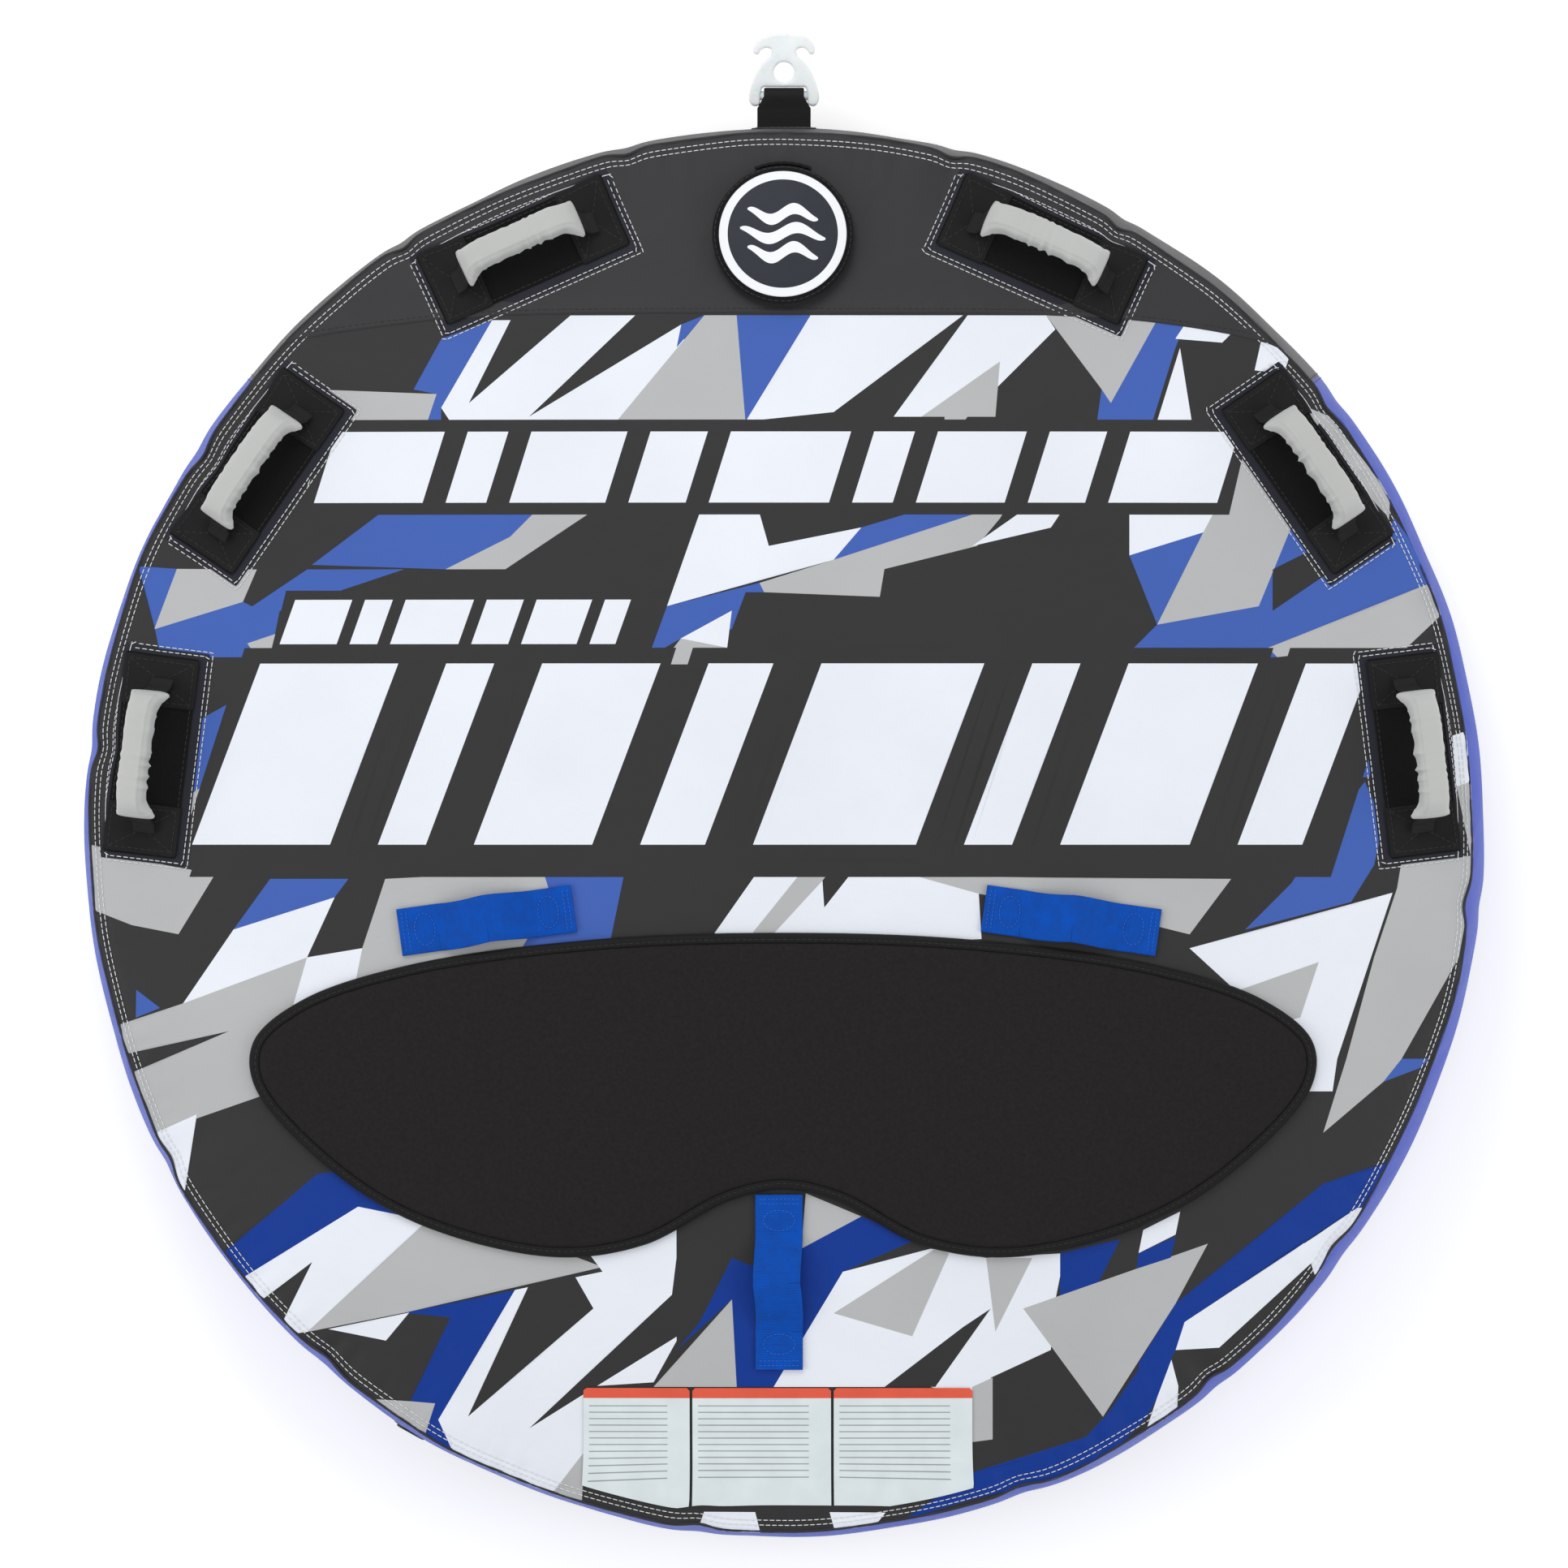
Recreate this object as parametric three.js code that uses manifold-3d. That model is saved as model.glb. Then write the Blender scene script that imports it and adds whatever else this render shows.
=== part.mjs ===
// A round, fabric-covered towable tube. Millimetres, +Z up, +Y towards the tow point.
// The origin is the centre of the flat face that the tube rests on.
import * as THREE from 'three';
import { mergeVertices } from 'three/addons/utils/BufferGeometryUtils.js';
import Module from 'manifold-3d';

const wasm = await Module();
wasm.setup();

// Driving dimensions of the inflated cover
const seamRadius = 746;
const bandBulge = 16;
const restRadius = 560;
const lowerSeamHeight = 40;
const upperSeamHeight = 245;
const crownHeight = 300;
const crownPower = 2.6;
const fabric = 1.2;
const gap = 0.4;
const bladderInset = 5.2;
const bladderWall = 1;
const turnSteps = 48;
const roundSteps = 20;
const bandSteps = 6;
const padSteps = 66;
const foamThickness = 6;
const padThickness = 9;
const bindingWidth = 9;
const deckRings = [0, 150, 300, 420, 520, 600, 660, 705, seamRadius - 2];

// Layout of what is sewn onto the cover
const frontSeamY = 562;
const frontSeamDrop = 34;
const frontSeamReach = 517;
const frontBandHalfAngle = 49.5;
const handleRadius = 688;
const handleAngles = [-83, -55.5, -24, 24, 55.5, 83];
const guardSize = { length: 218, width: 76, thickness: 3 };
const anchorSize = { length: 54, width: 77, thickness: 3 };
const gripLength = 124;
const handleRise = 48;
const handleFoot = 14;
const handleLean = 22;
const gripSection = { width: 38, height: 26 };
const webbingSection = { length: 144, width: 14, height: 5 };
const valve = { y: 645, hole: 31, tube: 22, wall: 3, port: 9, top: 8.5, depth: 14 };
const flange = { radius: 38, low: -4.6, high: -2.4 };
const collar = { radius: 30, low: 1, high: 8, notches: 6, notchRadius: 4 };
const flap = { radius: 78, height: 22, drop: 6, edge: 10, recess: 40, recessHeight: 11.5, clearance: 0.6 };
const badge = { radius: 70, flat: 50, thickness: 1.4 };
const strap = { length: 191, width: 51, thickness: 3, rise: 17, sewn: 42, ramp: 18 };
const tow = { hingeY: 770, barY: 803, barRadius: 5, strapWidth: 46, strapThickness: 3, patch: 90 };
const connector = { halfThickness: 7, holeRadius: 11, holeY: 25, slotHalfWidth: 26 };
const zip = { height: 90, width: 26, halfAngle: 35, tapeThickness: 1.6 };
const slider = { width: 18, height: 18, depth: 5 };

const middleHeight = (upperSeamHeight + lowerSeamHeight) / 2;
const halfBand = (upperSeamHeight - lowerSeamHeight) / 2;
const radians = THREE.MathUtils.degToRad;

// Outer surface of the cover
function deckHeight(radius) {
  return upperSeamHeight + (crownHeight - upperSeamHeight) * (1 - (radius / seamRadius) ** crownPower);
}

function deckSlope(radius) {
  const rise = crownHeight - upperSeamHeight;
  return Math.atan((rise * crownPower * (radius / seamRadius) ** (crownPower - 1)) / seamRadius);
}

function bandRadius(height) {
  return seamRadius + bandBulge * (1 - ((height - middleHeight) / halfBand) ** 2);
}

function bottomHeight(radius) {
  const past = Math.max(0, radius - restRadius) / (seamRadius - restRadius);
  return lowerSeamHeight * past ** 2;
}

// Solids: three.js geometry in, closed manifold out, and back
function solidOf(geometry) {
  const bare = geometry.clone();
  bare.deleteAttribute('normal');
  bare.deleteAttribute('uv');
  const merged = mergeVertices(bare, 1e-4);
  const points = merged.attributes.position.array;
  const corners = [];
  for (let i = 0; i < merged.index.count; i += 3) {
    const [a, b, c] = merged.index.array.slice(i, i + 3);
    if (a !== b && b !== c && c !== a) corners.push([a, b, c]);
  }
  const at = (i) => new THREE.Vector3().fromArray(points, 3 * i);
  const volume = corners.reduce((sum, [a, b, c]) => sum + at(a).dot(at(b).cross(at(c))), 0);
  const outward = volume > 0 ? corners : corners.map(([a, b, c]) => [a, c, b]);
  return new wasm.Manifold(new wasm.Mesh({
    numProp: 3,
    vertProperties: new Float32Array(points),
    triVerts: new Uint32Array(outward.flat()),
  }));
}

function geometryOf(solid) {
  const mesh = solid.getMesh();
  const geometry = new THREE.BufferGeometry();
  geometry.setAttribute('position', new THREE.BufferAttribute(mesh.vertProperties, 3));
  geometry.setIndex(new THREE.BufferAttribute(mesh.triVerts, 1));
  geometry.computeVertexNormals();
  return geometry;
}

function lathe(profile, steps = turnSteps) {
  const points = profile.map(([radius, height]) => new THREE.Vector2(radius, height));
  return solidOf(new THREE.LatheGeometry(points, steps).rotateX(Math.PI / 2));
}

function prism(outline, low, high) {
  const shape = new THREE.Shape(outline.map(([x, y]) => new THREE.Vector2(x, y)));
  const options = { depth: high - low, bevelEnabled: false };
  return solidOf(new THREE.ExtrudeGeometry(shape, options).translate(0, 0, low));
}

// A prism whose outline lies in the Y-Z plane, running along X
function crossPrism(outline, halfWidth) {
  const shape = new THREE.Shape(outline.map(([y, z]) => new THREE.Vector2(y, z)));
  const geometry = new THREE.ExtrudeGeometry(shape, { depth: 2 * halfWidth, bevelEnabled: false });
  geometry.translate(0, 0, -halfWidth);
  geometry.applyMatrix4(new THREE.Matrix4().set(0, 0, 1, 0, 1, 0, 0, 0, 0, 1, 0, 0, 0, 0, 0, 1));
  return solidOf(geometry);
}

function cylinder(radius, length, steps = roundSteps) {
  return solidOf(new THREE.CylinderGeometry(radius, radius, length, steps).rotateX(Math.PI / 2));
}

// Outlines
function rectangle(length, width, shiftX = 0) {
  const [x, y] = [length / 2, width / 2];
  return [[shiftX - x, -y], [shiftX + x, -y], [shiftX + x, y], [shiftX - x, y]];
}

function arc(centreX, centreY, radius, fromDegrees, toDegrees, steps) {
  return Array.from({ length: steps + 1 }, (_, i) => {
    const angle = radians(fromDegrees + ((toDegrees - fromDegrees) * i) / steps);
    return [centreX + radius * Math.cos(angle), centreY + radius * Math.sin(angle)];
  });
}

// Puts an outline on the deck: x along the rim, y outwards, at an angle from the tow point
function onRim(outline, degrees, radius) {
  const turn = radians(-degrees);
  return outline.map(([x, y]) => [
    x * Math.cos(turn) - (radius + y) * Math.sin(turn),
    x * Math.sin(turn) + (radius + y) * Math.cos(turn),
  ]);
}

// A layer that follows the deck, between two heights above it
function deckLayer(outline, low, high) {
  const upper = deckRings.map((radius) => [radius, deckHeight(radius) + high]);
  const lower = deckRings.map((radius) => [radius, deckHeight(radius) + low]).reverse();
  const layer = lathe([...upper, ...lower]);
  return outline ? layer.intersect(prism(outline, 0, crownHeight * 2)) : layer;
}

// A layer that follows the side band, between two distances out from it
function bandLayer(inner, outer) {
  const seamAllowance = 1.6;
  const low = lowerSeamHeight + seamAllowance;
  const high = upperSeamHeight - seamAllowance;
  const heights = Array.from({ length: bandSteps + 1 }, (_, i) => low + ((high - low) * i) / bandSteps);
  const outside = heights.map((height) => [bandRadius(height) + outer, height]);
  const inside = heights.map((height) => [bandRadius(height) + inner, height]).reverse();
  return lathe([...outside, ...inside, outside[0]]);
}

// The part of the space around the tube between two angles and two heights
function wedge(centreDegrees, halfDegrees, low = 0, high = crownHeight) {
  const reach = 2 * seamRadius;
  const rim = arc(0, 0, reach, centreDegrees - halfDegrees, centreDegrees + halfDegrees, 4);
  return prism([[0, 0], ...rim], low, high);
}

// The scene graph
const tube = new THREE.Group();

const finishes = {
  charcoal: { color: 0x424244, roughness: 0.85, metalness: 0 },
  print: { color: 0x46569a, roughness: 0.8, metalness: 0 },
  royal: { color: 0x586ec8, roughness: 0.8, metalness: 0 },
  underside: { color: 0x2c2c30, roughness: 0.9, metalness: 0 },
  bladder: { color: 0x24262c, roughness: 0.5, metalness: 0 },
  neoprene: { color: 0x2a2a2c, roughness: 0.95, metalness: 0 },
  foam: { color: 0x8d8f92, roughness: 0.95, metalness: 0 },
  black: { color: 0x242426, roughness: 0.85, metalness: 0 },
  grey: { color: 0xc8cbc8, roughness: 0.9, metalness: 0 },
  blue: { color: 0x0058bc, roughness: 0.8, metalness: 0 },
  nylon: { color: 0xdfe6e8, roughness: 0.35, metalness: 0 },
  valve: { color: 0xd8dadc, roughness: 0.45, metalness: 0 },
  badge: { color: 0xe6e8ec, roughness: 0.6, metalness: 0 },
  slider: { color: 0x3c3e42, roughness: 0.5, metalness: 0.6 },
};

function add(name, solid, finish, parent = tube) {
  const mesh = new THREE.Mesh(geometryOf(solid), new THREE.MeshStandardMaterial(finishes[finish]));
  mesh.name = name;
  parent.add(mesh);
}

// A group whose floor is the plane that touches the deck at a radius and an angle
function rimGroup(degrees, radius) {
  const group = new THREE.Group();
  const turn = radians(-degrees);
  group.position.set(-radius * Math.sin(turn), radius * Math.cos(turn), deckHeight(radius));
  group.rotation.set(-deckSlope(radius), 0, turn, 'ZYX');
  tube.add(group);
  return group;
}

// Cover: top in two panels, side in two bands, and the underside
function addCover() {
  const seamSteps = 16;
  const seam = Array.from({ length: seamSteps + 1 }, (_, i) => {
    const x = seamRadius * ((2 * i) / seamSteps - 1);
    return [x, frontSeamY - frontSeamDrop * (Math.abs(x) / frontSeamReach) ** 5];
  });
  const beyond = seamRadius + bandBulge;
  const frontRegion = [...seam, [beyond, beyond], [-beyond, beyond]];
  const rearSeam = seam.map(([x, y]) => [x, y - gap]);
  const rearRegion = [...rearSeam, [beyond, -beyond], [-beyond, -beyond]];
  const valveHole = cylinder(valve.hole, crownHeight).translate([0, valve.y, upperSeamHeight]);
  add('front_panel', deckLayer(frontRegion, -fabric, 0).subtract(valveHole), 'charcoal');
  add('deck_panel', deckLayer(rearRegion, -fabric, 0), 'print');

  const band = bandLayer(-fabric, 0);
  const gapAngle = THREE.MathUtils.radToDeg(gap / seamRadius);
  add('side_band_front', band.intersect(wedge(90, frontBandHalfAngle)), 'charcoal');
  add('side_band_rear', band.subtract(wedge(90, frontBandHalfAngle + gapAngle)), 'royal');

  const rings = [0, restRadius, 600, 640, 680, 710, seamRadius];
  const outside = rings.map((radius) => [radius, bottomHeight(radius)]);
  const inside = rings.map((radius) => [radius, bottomHeight(radius) + fabric]).reverse();
  add('bottom_panel', lathe([...outside, ...inside]), 'underside');
}

// The air bladder is a thin skin just inside the cover, open at the valve
function bladderShape(inset) {
  const floor = [0, restRadius, 650, seamRadius - 12].map((r) => [r, bottomHeight(r) + inset]);
  const wall = [0.2, 0.5, 0.8].map((part) => {
    const height = lowerSeamHeight + 2 * halfBand * part;
    return [bandRadius(height) - inset, height];
  });
  const top = [720, 660, 520, 300, 0].map((r) => [r, deckHeight(r) - inset - fabric]);
  return lathe([...floor, ...wall, ...top]);
}

function addBladder() {
  const hole = cylinder(valve.tube + gap, middleHeight).translate([0, valve.y, crownHeight]);
  const skin = bladderShape(bladderInset).subtract(bladderShape(bladderInset + bladderWall));
  add('air_bladder', skin.subtract(hole), 'bladder');
}

// Valve: flanged body, quarter-turn collar, padded flap and its badge
function addValve() {
  const group = rimGroup(0, valve.y);
  const neck = valve.tube - valve.wall;
  add('valve_body', lathe([
    [valve.port, -valve.depth], [neck, -valve.depth], [neck, flange.low], [flange.radius, flange.low],
    [flange.radius, flange.high], [valve.tube, flange.high], [valve.tube, valve.top],
    [valve.port, valve.top], [valve.port, -valve.depth],
  ], roundSteps), 'valve', group);

  const bore = valve.tube + 2 * gap;
  const ring = lathe([[bore, collar.low], [collar.radius, collar.low], [collar.radius, collar.high],
    [bore, collar.high], [bore, collar.low]], roundSteps);
  const notch = cylinder(collar.notchRadius, 2 * collar.high);
  const gripped = arc(0, 0, collar.radius + 2, 0, 360, collar.notches).slice(1)
    .reduce((solid, [x, y]) => solid.subtract(notch.translate([x, y, collar.low])), ring);
  add('valve_collar', gripped, 'valve', group);

  const flapTop = (radius) => flap.height - flap.drop * (radius / flap.radius) ** 2;
  const shoulder = flap.radius - 4;
  add('valve_flap', lathe([
    [0, flap.recessHeight], [flap.recess, flap.recessHeight], [flap.recess + 6, flap.clearance],
    [flap.radius - 6, flap.clearance], [flap.radius, flap.edge / 2], [flap.radius, flap.edge],
    [shoulder, flapTop(shoulder)], [badge.flat, flapTop(badge.flat)], [0, flapTop(0)],
  ], 32), 'black', group);
  const under = [0, badge.flat, badge.radius].map((radius) => [radius, flapTop(radius) + gap]);
  const top = under.map(([radius, height]) => [radius, height + badge.thickness]).reverse();
  add('valve_badge', lathe([...under, ...top], 32), 'badge', group);
}

// Body pad: foam sheet, neoprene skin over it, and a bound edge around both
function padOutline(grow) {
  const rightHalf = [[0, -109], [200, -116], [400, -143], [520, -182], [572, -226], [572, -272],
    [500, -355], [400, -420], [250, -458], [150, -445], [60, -398], [0, -385]];
  const leftHalf = rightHalf.slice(1, -1).reverse().map(([x, y]) => [-x, y]);
  const points = [...rightHalf, ...leftHalf].map(([x, y]) => new THREE.Vector3(x, y, 0));
  const curve = new THREE.CatmullRomCurve3(points, true);
  return Array.from({ length: padSteps }, (_, i) => {
    const point = curve.getPoint(i / padSteps);
    const along = curve.getTangent(i / padSteps);
    return [point.x - grow * along.y, point.y + grow * along.x];
  });
}

function addPad() {
  const inner = padOutline(-bindingWidth);
  const skin = padOutline(-bindingWidth - gap);
  add('pad_foam', deckLayer(skin, gap, foamThickness), 'foam');
  add('body_pad', deckLayer(skin, foamThickness + gap, padThickness), 'neoprene');
  const binding = deckLayer(padOutline(0), gap, padThickness - 1);
  add('pad_binding', binding.subtract(prism(inner, 0, 2 * crownHeight)), 'black');
}

// Six grab handles: guard and two sewn ends on the cover, arched webbing in a soft sleeve
function handlePath(halfLength) {
  const halfSpan = webbingSection.length / 2 + 2;
  const height = (x) => handleFoot + (handleRise - handleFoot) * (1 - (x / halfSpan) ** 4);
  const places = [-1, -0.85, -0.6, -0.3, 0, 0.3, 0.6, 0.85, 1].map((part) => part * halfLength);
  return new THREE.CatmullRomCurve3(places.map((x) => new THREE.Vector3(x, 0, height(x))));
}

function ovalShape(width, height, steps) {
  const points = arc(0, 0, 0.5, 0, 360, steps).slice(0, -1);
  return new THREE.Shape(points.map(([x, y]) => new THREE.Vector2(x * width, y * height)));
}

function sweep(shape, path, steps) {
  return solidOf(new THREE.ExtrudeGeometry(shape, { steps, extrudePath: path, bevelEnabled: false }));
}

function addHandle(number, degrees) {
  const guard = onRim(rectangle(guardSize.length, guardSize.width), degrees, handleRadius);
  add(`knuckle_guard_${number}`, deckLayer(guard, gap, guardSize.thickness), 'black');
  const anchorShift = (guardSize.length - anchorSize.length) / 2 - 2;
  for (const [letter, shift] of [['a', -anchorShift], ['b', anchorShift]]) {
    const outline = onRim(rectangle(anchorSize.length, anchorSize.width, shift), degrees, handleRadius);
    const low = guardSize.thickness + gap;
    add(`handle_anchor_${number}${letter}`, deckLayer(outline, low, low + anchorSize.thickness), 'black');
  }
  // The handle lies over towards the rim, turned about the line through its two feet
  const group = new THREE.Group();
  group.rotation.x = radians(-handleLean);
  group.position.set(0, -handleFoot * Math.sin(radians(handleLean)),
    handleFoot * (1 - Math.cos(radians(handleLean))));
  rimGroup(degrees, handleRadius).add(group);
  const { width, height, length } = webbingSection;
  const webbing = sweep(ovalShape(width, height, 8), handlePath(length / 2), 12);
  add(`handle_webbing_${number}`, webbing, 'black', group);
  const sleeve = sweep(ovalShape(gripSection.width, gripSection.height, 12), handlePath(gripLength / 2), 8);
  const bore = sweep(ovalShape(width + 2, height + 2, 8), handlePath(length / 2 + 1), 12);
  add(`handle_grip_${number}`, sleeve.subtract(bore), 'grey', group);
}

// Blue webbing straps, sewn at both ends and bowed in the middle
function addStrap(name, x, y, degrees) {
  const end = strap.length / 2;
  const flat = end - strap.sewn;
  const ramp = flat - strap.ramp;
  const shoulder = strap.rise - 4;
  const side = [[-end, gap], [-flat, gap], [-ramp, shoulder], [0, strap.rise], [ramp, shoulder],
    [flat, gap], [end, gap]];
  const top = side.map(([along, height]) => [along, height + strap.thickness]).reverse();
  const ribbon = crossPrism([...side, ...top], strap.width / 2);
  const group = new THREE.Group();
  const radius = Math.hypot(x, y);
  group.position.set(x, y, deckHeight(radius));
  const outward = new THREE.Vector3(x / radius, y / radius, 0);
  const slope = deckSlope(radius);
  const normal = outward.multiplyScalar(Math.sin(slope)).setZ(Math.cos(slope));
  const along = new THREE.Vector3(-Math.sin(radians(degrees)), Math.cos(radians(degrees)), 0);
  along.addScaledVector(normal, -along.dot(normal)).normalize();
  group.matrix.makeBasis(along.clone().cross(normal), along, normal);
  group.quaternion.setFromRotationMatrix(group.matrix);
  tube.add(group);
  add(name, ribbon, 'blue', group);
}

// Tow point: patches on both sides of the side band, a webbing loop and a T-hook
function addTowPoint() {
  const patch = wedge(90, 4.5, middleHeight - tow.patch / 2, middleHeight + tow.patch / 2);
  add('tow_anchor', bandLayer(gap, gap + tow.strapThickness).intersect(patch), 'black');
  add('tow_backing', bandLayer(-fabric - 2, -fabric - gap).intersect(patch), 'black');

  const root = arc(tow.hingeY, middleHeight, tow.strapThickness - 0.5, 90, 270, 6);
  const outer = tow.barRadius + gap + tow.strapThickness;
  const bight = arc(tow.barY, middleHeight, outer, -120, 120, 12);
  const loop = crossPrism([...root, ...bight], tow.strapWidth / 2);
  const eye = crossPrism(barOutline(tow.barRadius + gap), tow.strapWidth);
  add('tow_strap', loop.subtract(eye), 'black');
  add('tow_connector', connectorShape(), 'nylon');
}

function barOutline(radius) {
  return arc(tow.barY, middleHeight, radius, 0, 360, 16).slice(0, -1);
}

// Two lobes joined by the bar that the webbing loops round, a plate with a hole, and a T-hook
function connectorShape() {
  const { halfThickness, slotHalfWidth } = connector;
  const rightHalf = [[slotHalfWidth, -12], [34, -12], [38, -6], [37, 4], [30, 16], [20, 30], [12, 38],
    [11, 50], [20, 52], [26, 49], [29, 44], [34, 46], [34, 54], [28, 62], [16, 67], [0, 68]];
  const leftHalf = rightHalf.slice(0, -1).reverse().map(([x, y]) => [-x, y]);
  const slotEnd = [[-slotHalfWidth, 12], [slotHalfWidth, 12]];
  const outline = [...rightHalf, ...leftHalf, ...slotEnd].map(([x, y]) => [x, y + tow.barY]);
  const plate = prism(outline, middleHeight - halfThickness, middleHeight + halfThickness);
  const bar = crossPrism(barOutline(tow.barRadius), slotHalfWidth + 1);
  const hole = cylinder(connector.holeRadius, 4 * halfThickness);
  return plate.subtract(hole.translate([0, tow.barY + connector.holeY, middleHeight])).add(bar);
}

// Zip that the bladder goes in through, low on the rear of the side band
function addZip() {
  const half = zip.width / 2;
  const slot = wedge(-90, zip.halfAngle, zip.height - half, zip.height + half);
  add('zip_tape', bandLayer(gap, gap + zip.tapeThickness).intersect(slot), 'black');
  const group = new THREE.Group();
  group.rotation.z = radians(2 - zip.halfAngle);
  tube.add(group);
  const near = bandRadius(zip.height + half) + zip.tapeThickness + 3 * gap;
  const far = near + slider.depth;
  const halfWidth = slider.width / 2;
  const outline = [[2 - halfWidth, -far], [halfWidth - 2, -far], [halfWidth, -near], [-halfWidth, -near]];
  const body = prism(outline, zip.height - slider.height / 2, zip.height + slider.height / 2);
  add('zip_slider', body, 'slider', group);
}

addCover();
addBladder();
addValve();
addPad();
handleAngles.forEach((degrees, i) => addHandle(i + 1, degrees));
addStrap('grab_strap_left', -320, -95, -82);
addStrap('grab_strap_right', 312, -95, -98);
addStrap('boarding_strap', -4, -486, 0);
addTowPoint();
addZip();

export default tube;
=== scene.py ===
"""A fabric-covered towable tube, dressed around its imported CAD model: metres, +Z up, +Y to the tow point"""
import math

import bpy
import numpy as np
from mathutils import Matrix, Vector
from mathutils.geometry import delaunay_2d_cdt


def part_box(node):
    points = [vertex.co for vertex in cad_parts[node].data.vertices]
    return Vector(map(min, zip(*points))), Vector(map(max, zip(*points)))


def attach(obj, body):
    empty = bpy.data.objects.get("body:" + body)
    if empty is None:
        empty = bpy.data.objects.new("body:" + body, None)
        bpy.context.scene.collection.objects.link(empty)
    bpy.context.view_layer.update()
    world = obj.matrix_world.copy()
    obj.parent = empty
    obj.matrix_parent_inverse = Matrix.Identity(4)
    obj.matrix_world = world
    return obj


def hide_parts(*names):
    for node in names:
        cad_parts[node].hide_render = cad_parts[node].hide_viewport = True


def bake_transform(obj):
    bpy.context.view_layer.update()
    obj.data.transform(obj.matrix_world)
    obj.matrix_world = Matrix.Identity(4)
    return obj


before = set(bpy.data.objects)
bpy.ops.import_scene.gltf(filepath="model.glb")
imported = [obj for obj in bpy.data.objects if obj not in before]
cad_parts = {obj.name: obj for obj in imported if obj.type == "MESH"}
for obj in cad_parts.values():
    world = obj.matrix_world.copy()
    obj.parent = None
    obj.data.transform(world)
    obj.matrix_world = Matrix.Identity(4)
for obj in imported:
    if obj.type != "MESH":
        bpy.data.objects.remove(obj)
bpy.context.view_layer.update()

MM = 0.001
TAU = 2 * math.pi

# The cover's form, as the CAD has it
CROWN_POWER = 2.6
REST_RADIUS = 560 * MM
FABRIC = 1.2 * MM
SEAM_ALLOWANCE = 1.6 * MM
SEAM_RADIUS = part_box("bottom_panel")[1].x
SIDE_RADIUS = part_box("side_band_rear")[1].x
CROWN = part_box("deck_panel")[1].z
UPPER_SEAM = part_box("side_band_rear")[1].z + SEAM_ALLOWANCE
LOWER_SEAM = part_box("side_band_rear")[0].z - SEAM_ALLOWANCE
MIDDLE = (UPPER_SEAM + LOWER_SEAM) / 2
HALF_BAND = (UPPER_SEAM - LOWER_SEAM) / 2

# The joins in the cover
FRONT = math.pi / 2
REAR = -math.pi / 2
FRONT_SEAM_Y = 562 * MM
FRONT_SEAM_DROP = 34 * MM
FRONT_SEAM_REACH = 517 * MM
FRONT_BAND = math.radians(49.5)
TOP_EDGE = SEAM_RADIUS + 1.5 * MM
LOWER_PUCKER = 0.45
# Pinches in the rim seam: degrees round from +X, and half widths
PINCHES = [(103, 1.1), (123, 1.0), (147, 1.4), (76, 1.0), (61, 0.9), (38, 1.2), (-6, 1.3), (-37, 1.6),
           (-52, 1.2), (-70, 1.5), (-97, 1.4), (-131, 1.6), (-152, 1.3), (173, 1.2)]

# What is sewn onto it
HANDLE_ANGLES = [math.radians(a) for a in (-83, -55.5, -24, 24, 55.5, 83)]
HANDLE_RADIUS = 688 * MM
HANDLE_FOOT = 14 * MM
HANDLE_RISE = 48 * MM
HANDLE_LEAN = math.radians(15)
HANDLE_HALF = 74 * MM
GRIP_HALF = 66 * MM
GUARD = (218 * MM, 76 * MM)
GUARD_TOP = 3 * MM
ANCHOR = (54 * MM, 77 * MM)
ANCHOR_TOP = 5 * MM
VALVE_Y = 645 * MM
FLAP_RADIUS = 78 * MM
PAD_TOP = 9 * MM
BINDING = 9 * MM
WEB = 3 * MM
STRAP_WIDTH = 51 * MM
HANDLE_WEB_WIDTH = 26 * MM
TOW_HINGE_Y = 770 * MM
BAR_Y = 803 * MM
BAR_RADIUS = 5 * MM
BAR_HALF = 29 * MM
ZIP_HALF_ANGLE = math.radians(35)
ZIP_HEIGHT = 90 * MM


# ---------------------------------------------------------------- materials

def colour(red, green, blue):
    """A screen colour, 0 to 255, as the linear values that shaders use"""
    def linear(value):
        share = value / 255
        return share / 12.92 if share <= 0.04045 else ((share + 0.055) / 1.055) ** 2.4
    return (linear(red), linear(green), linear(blue), 1.0)


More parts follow.
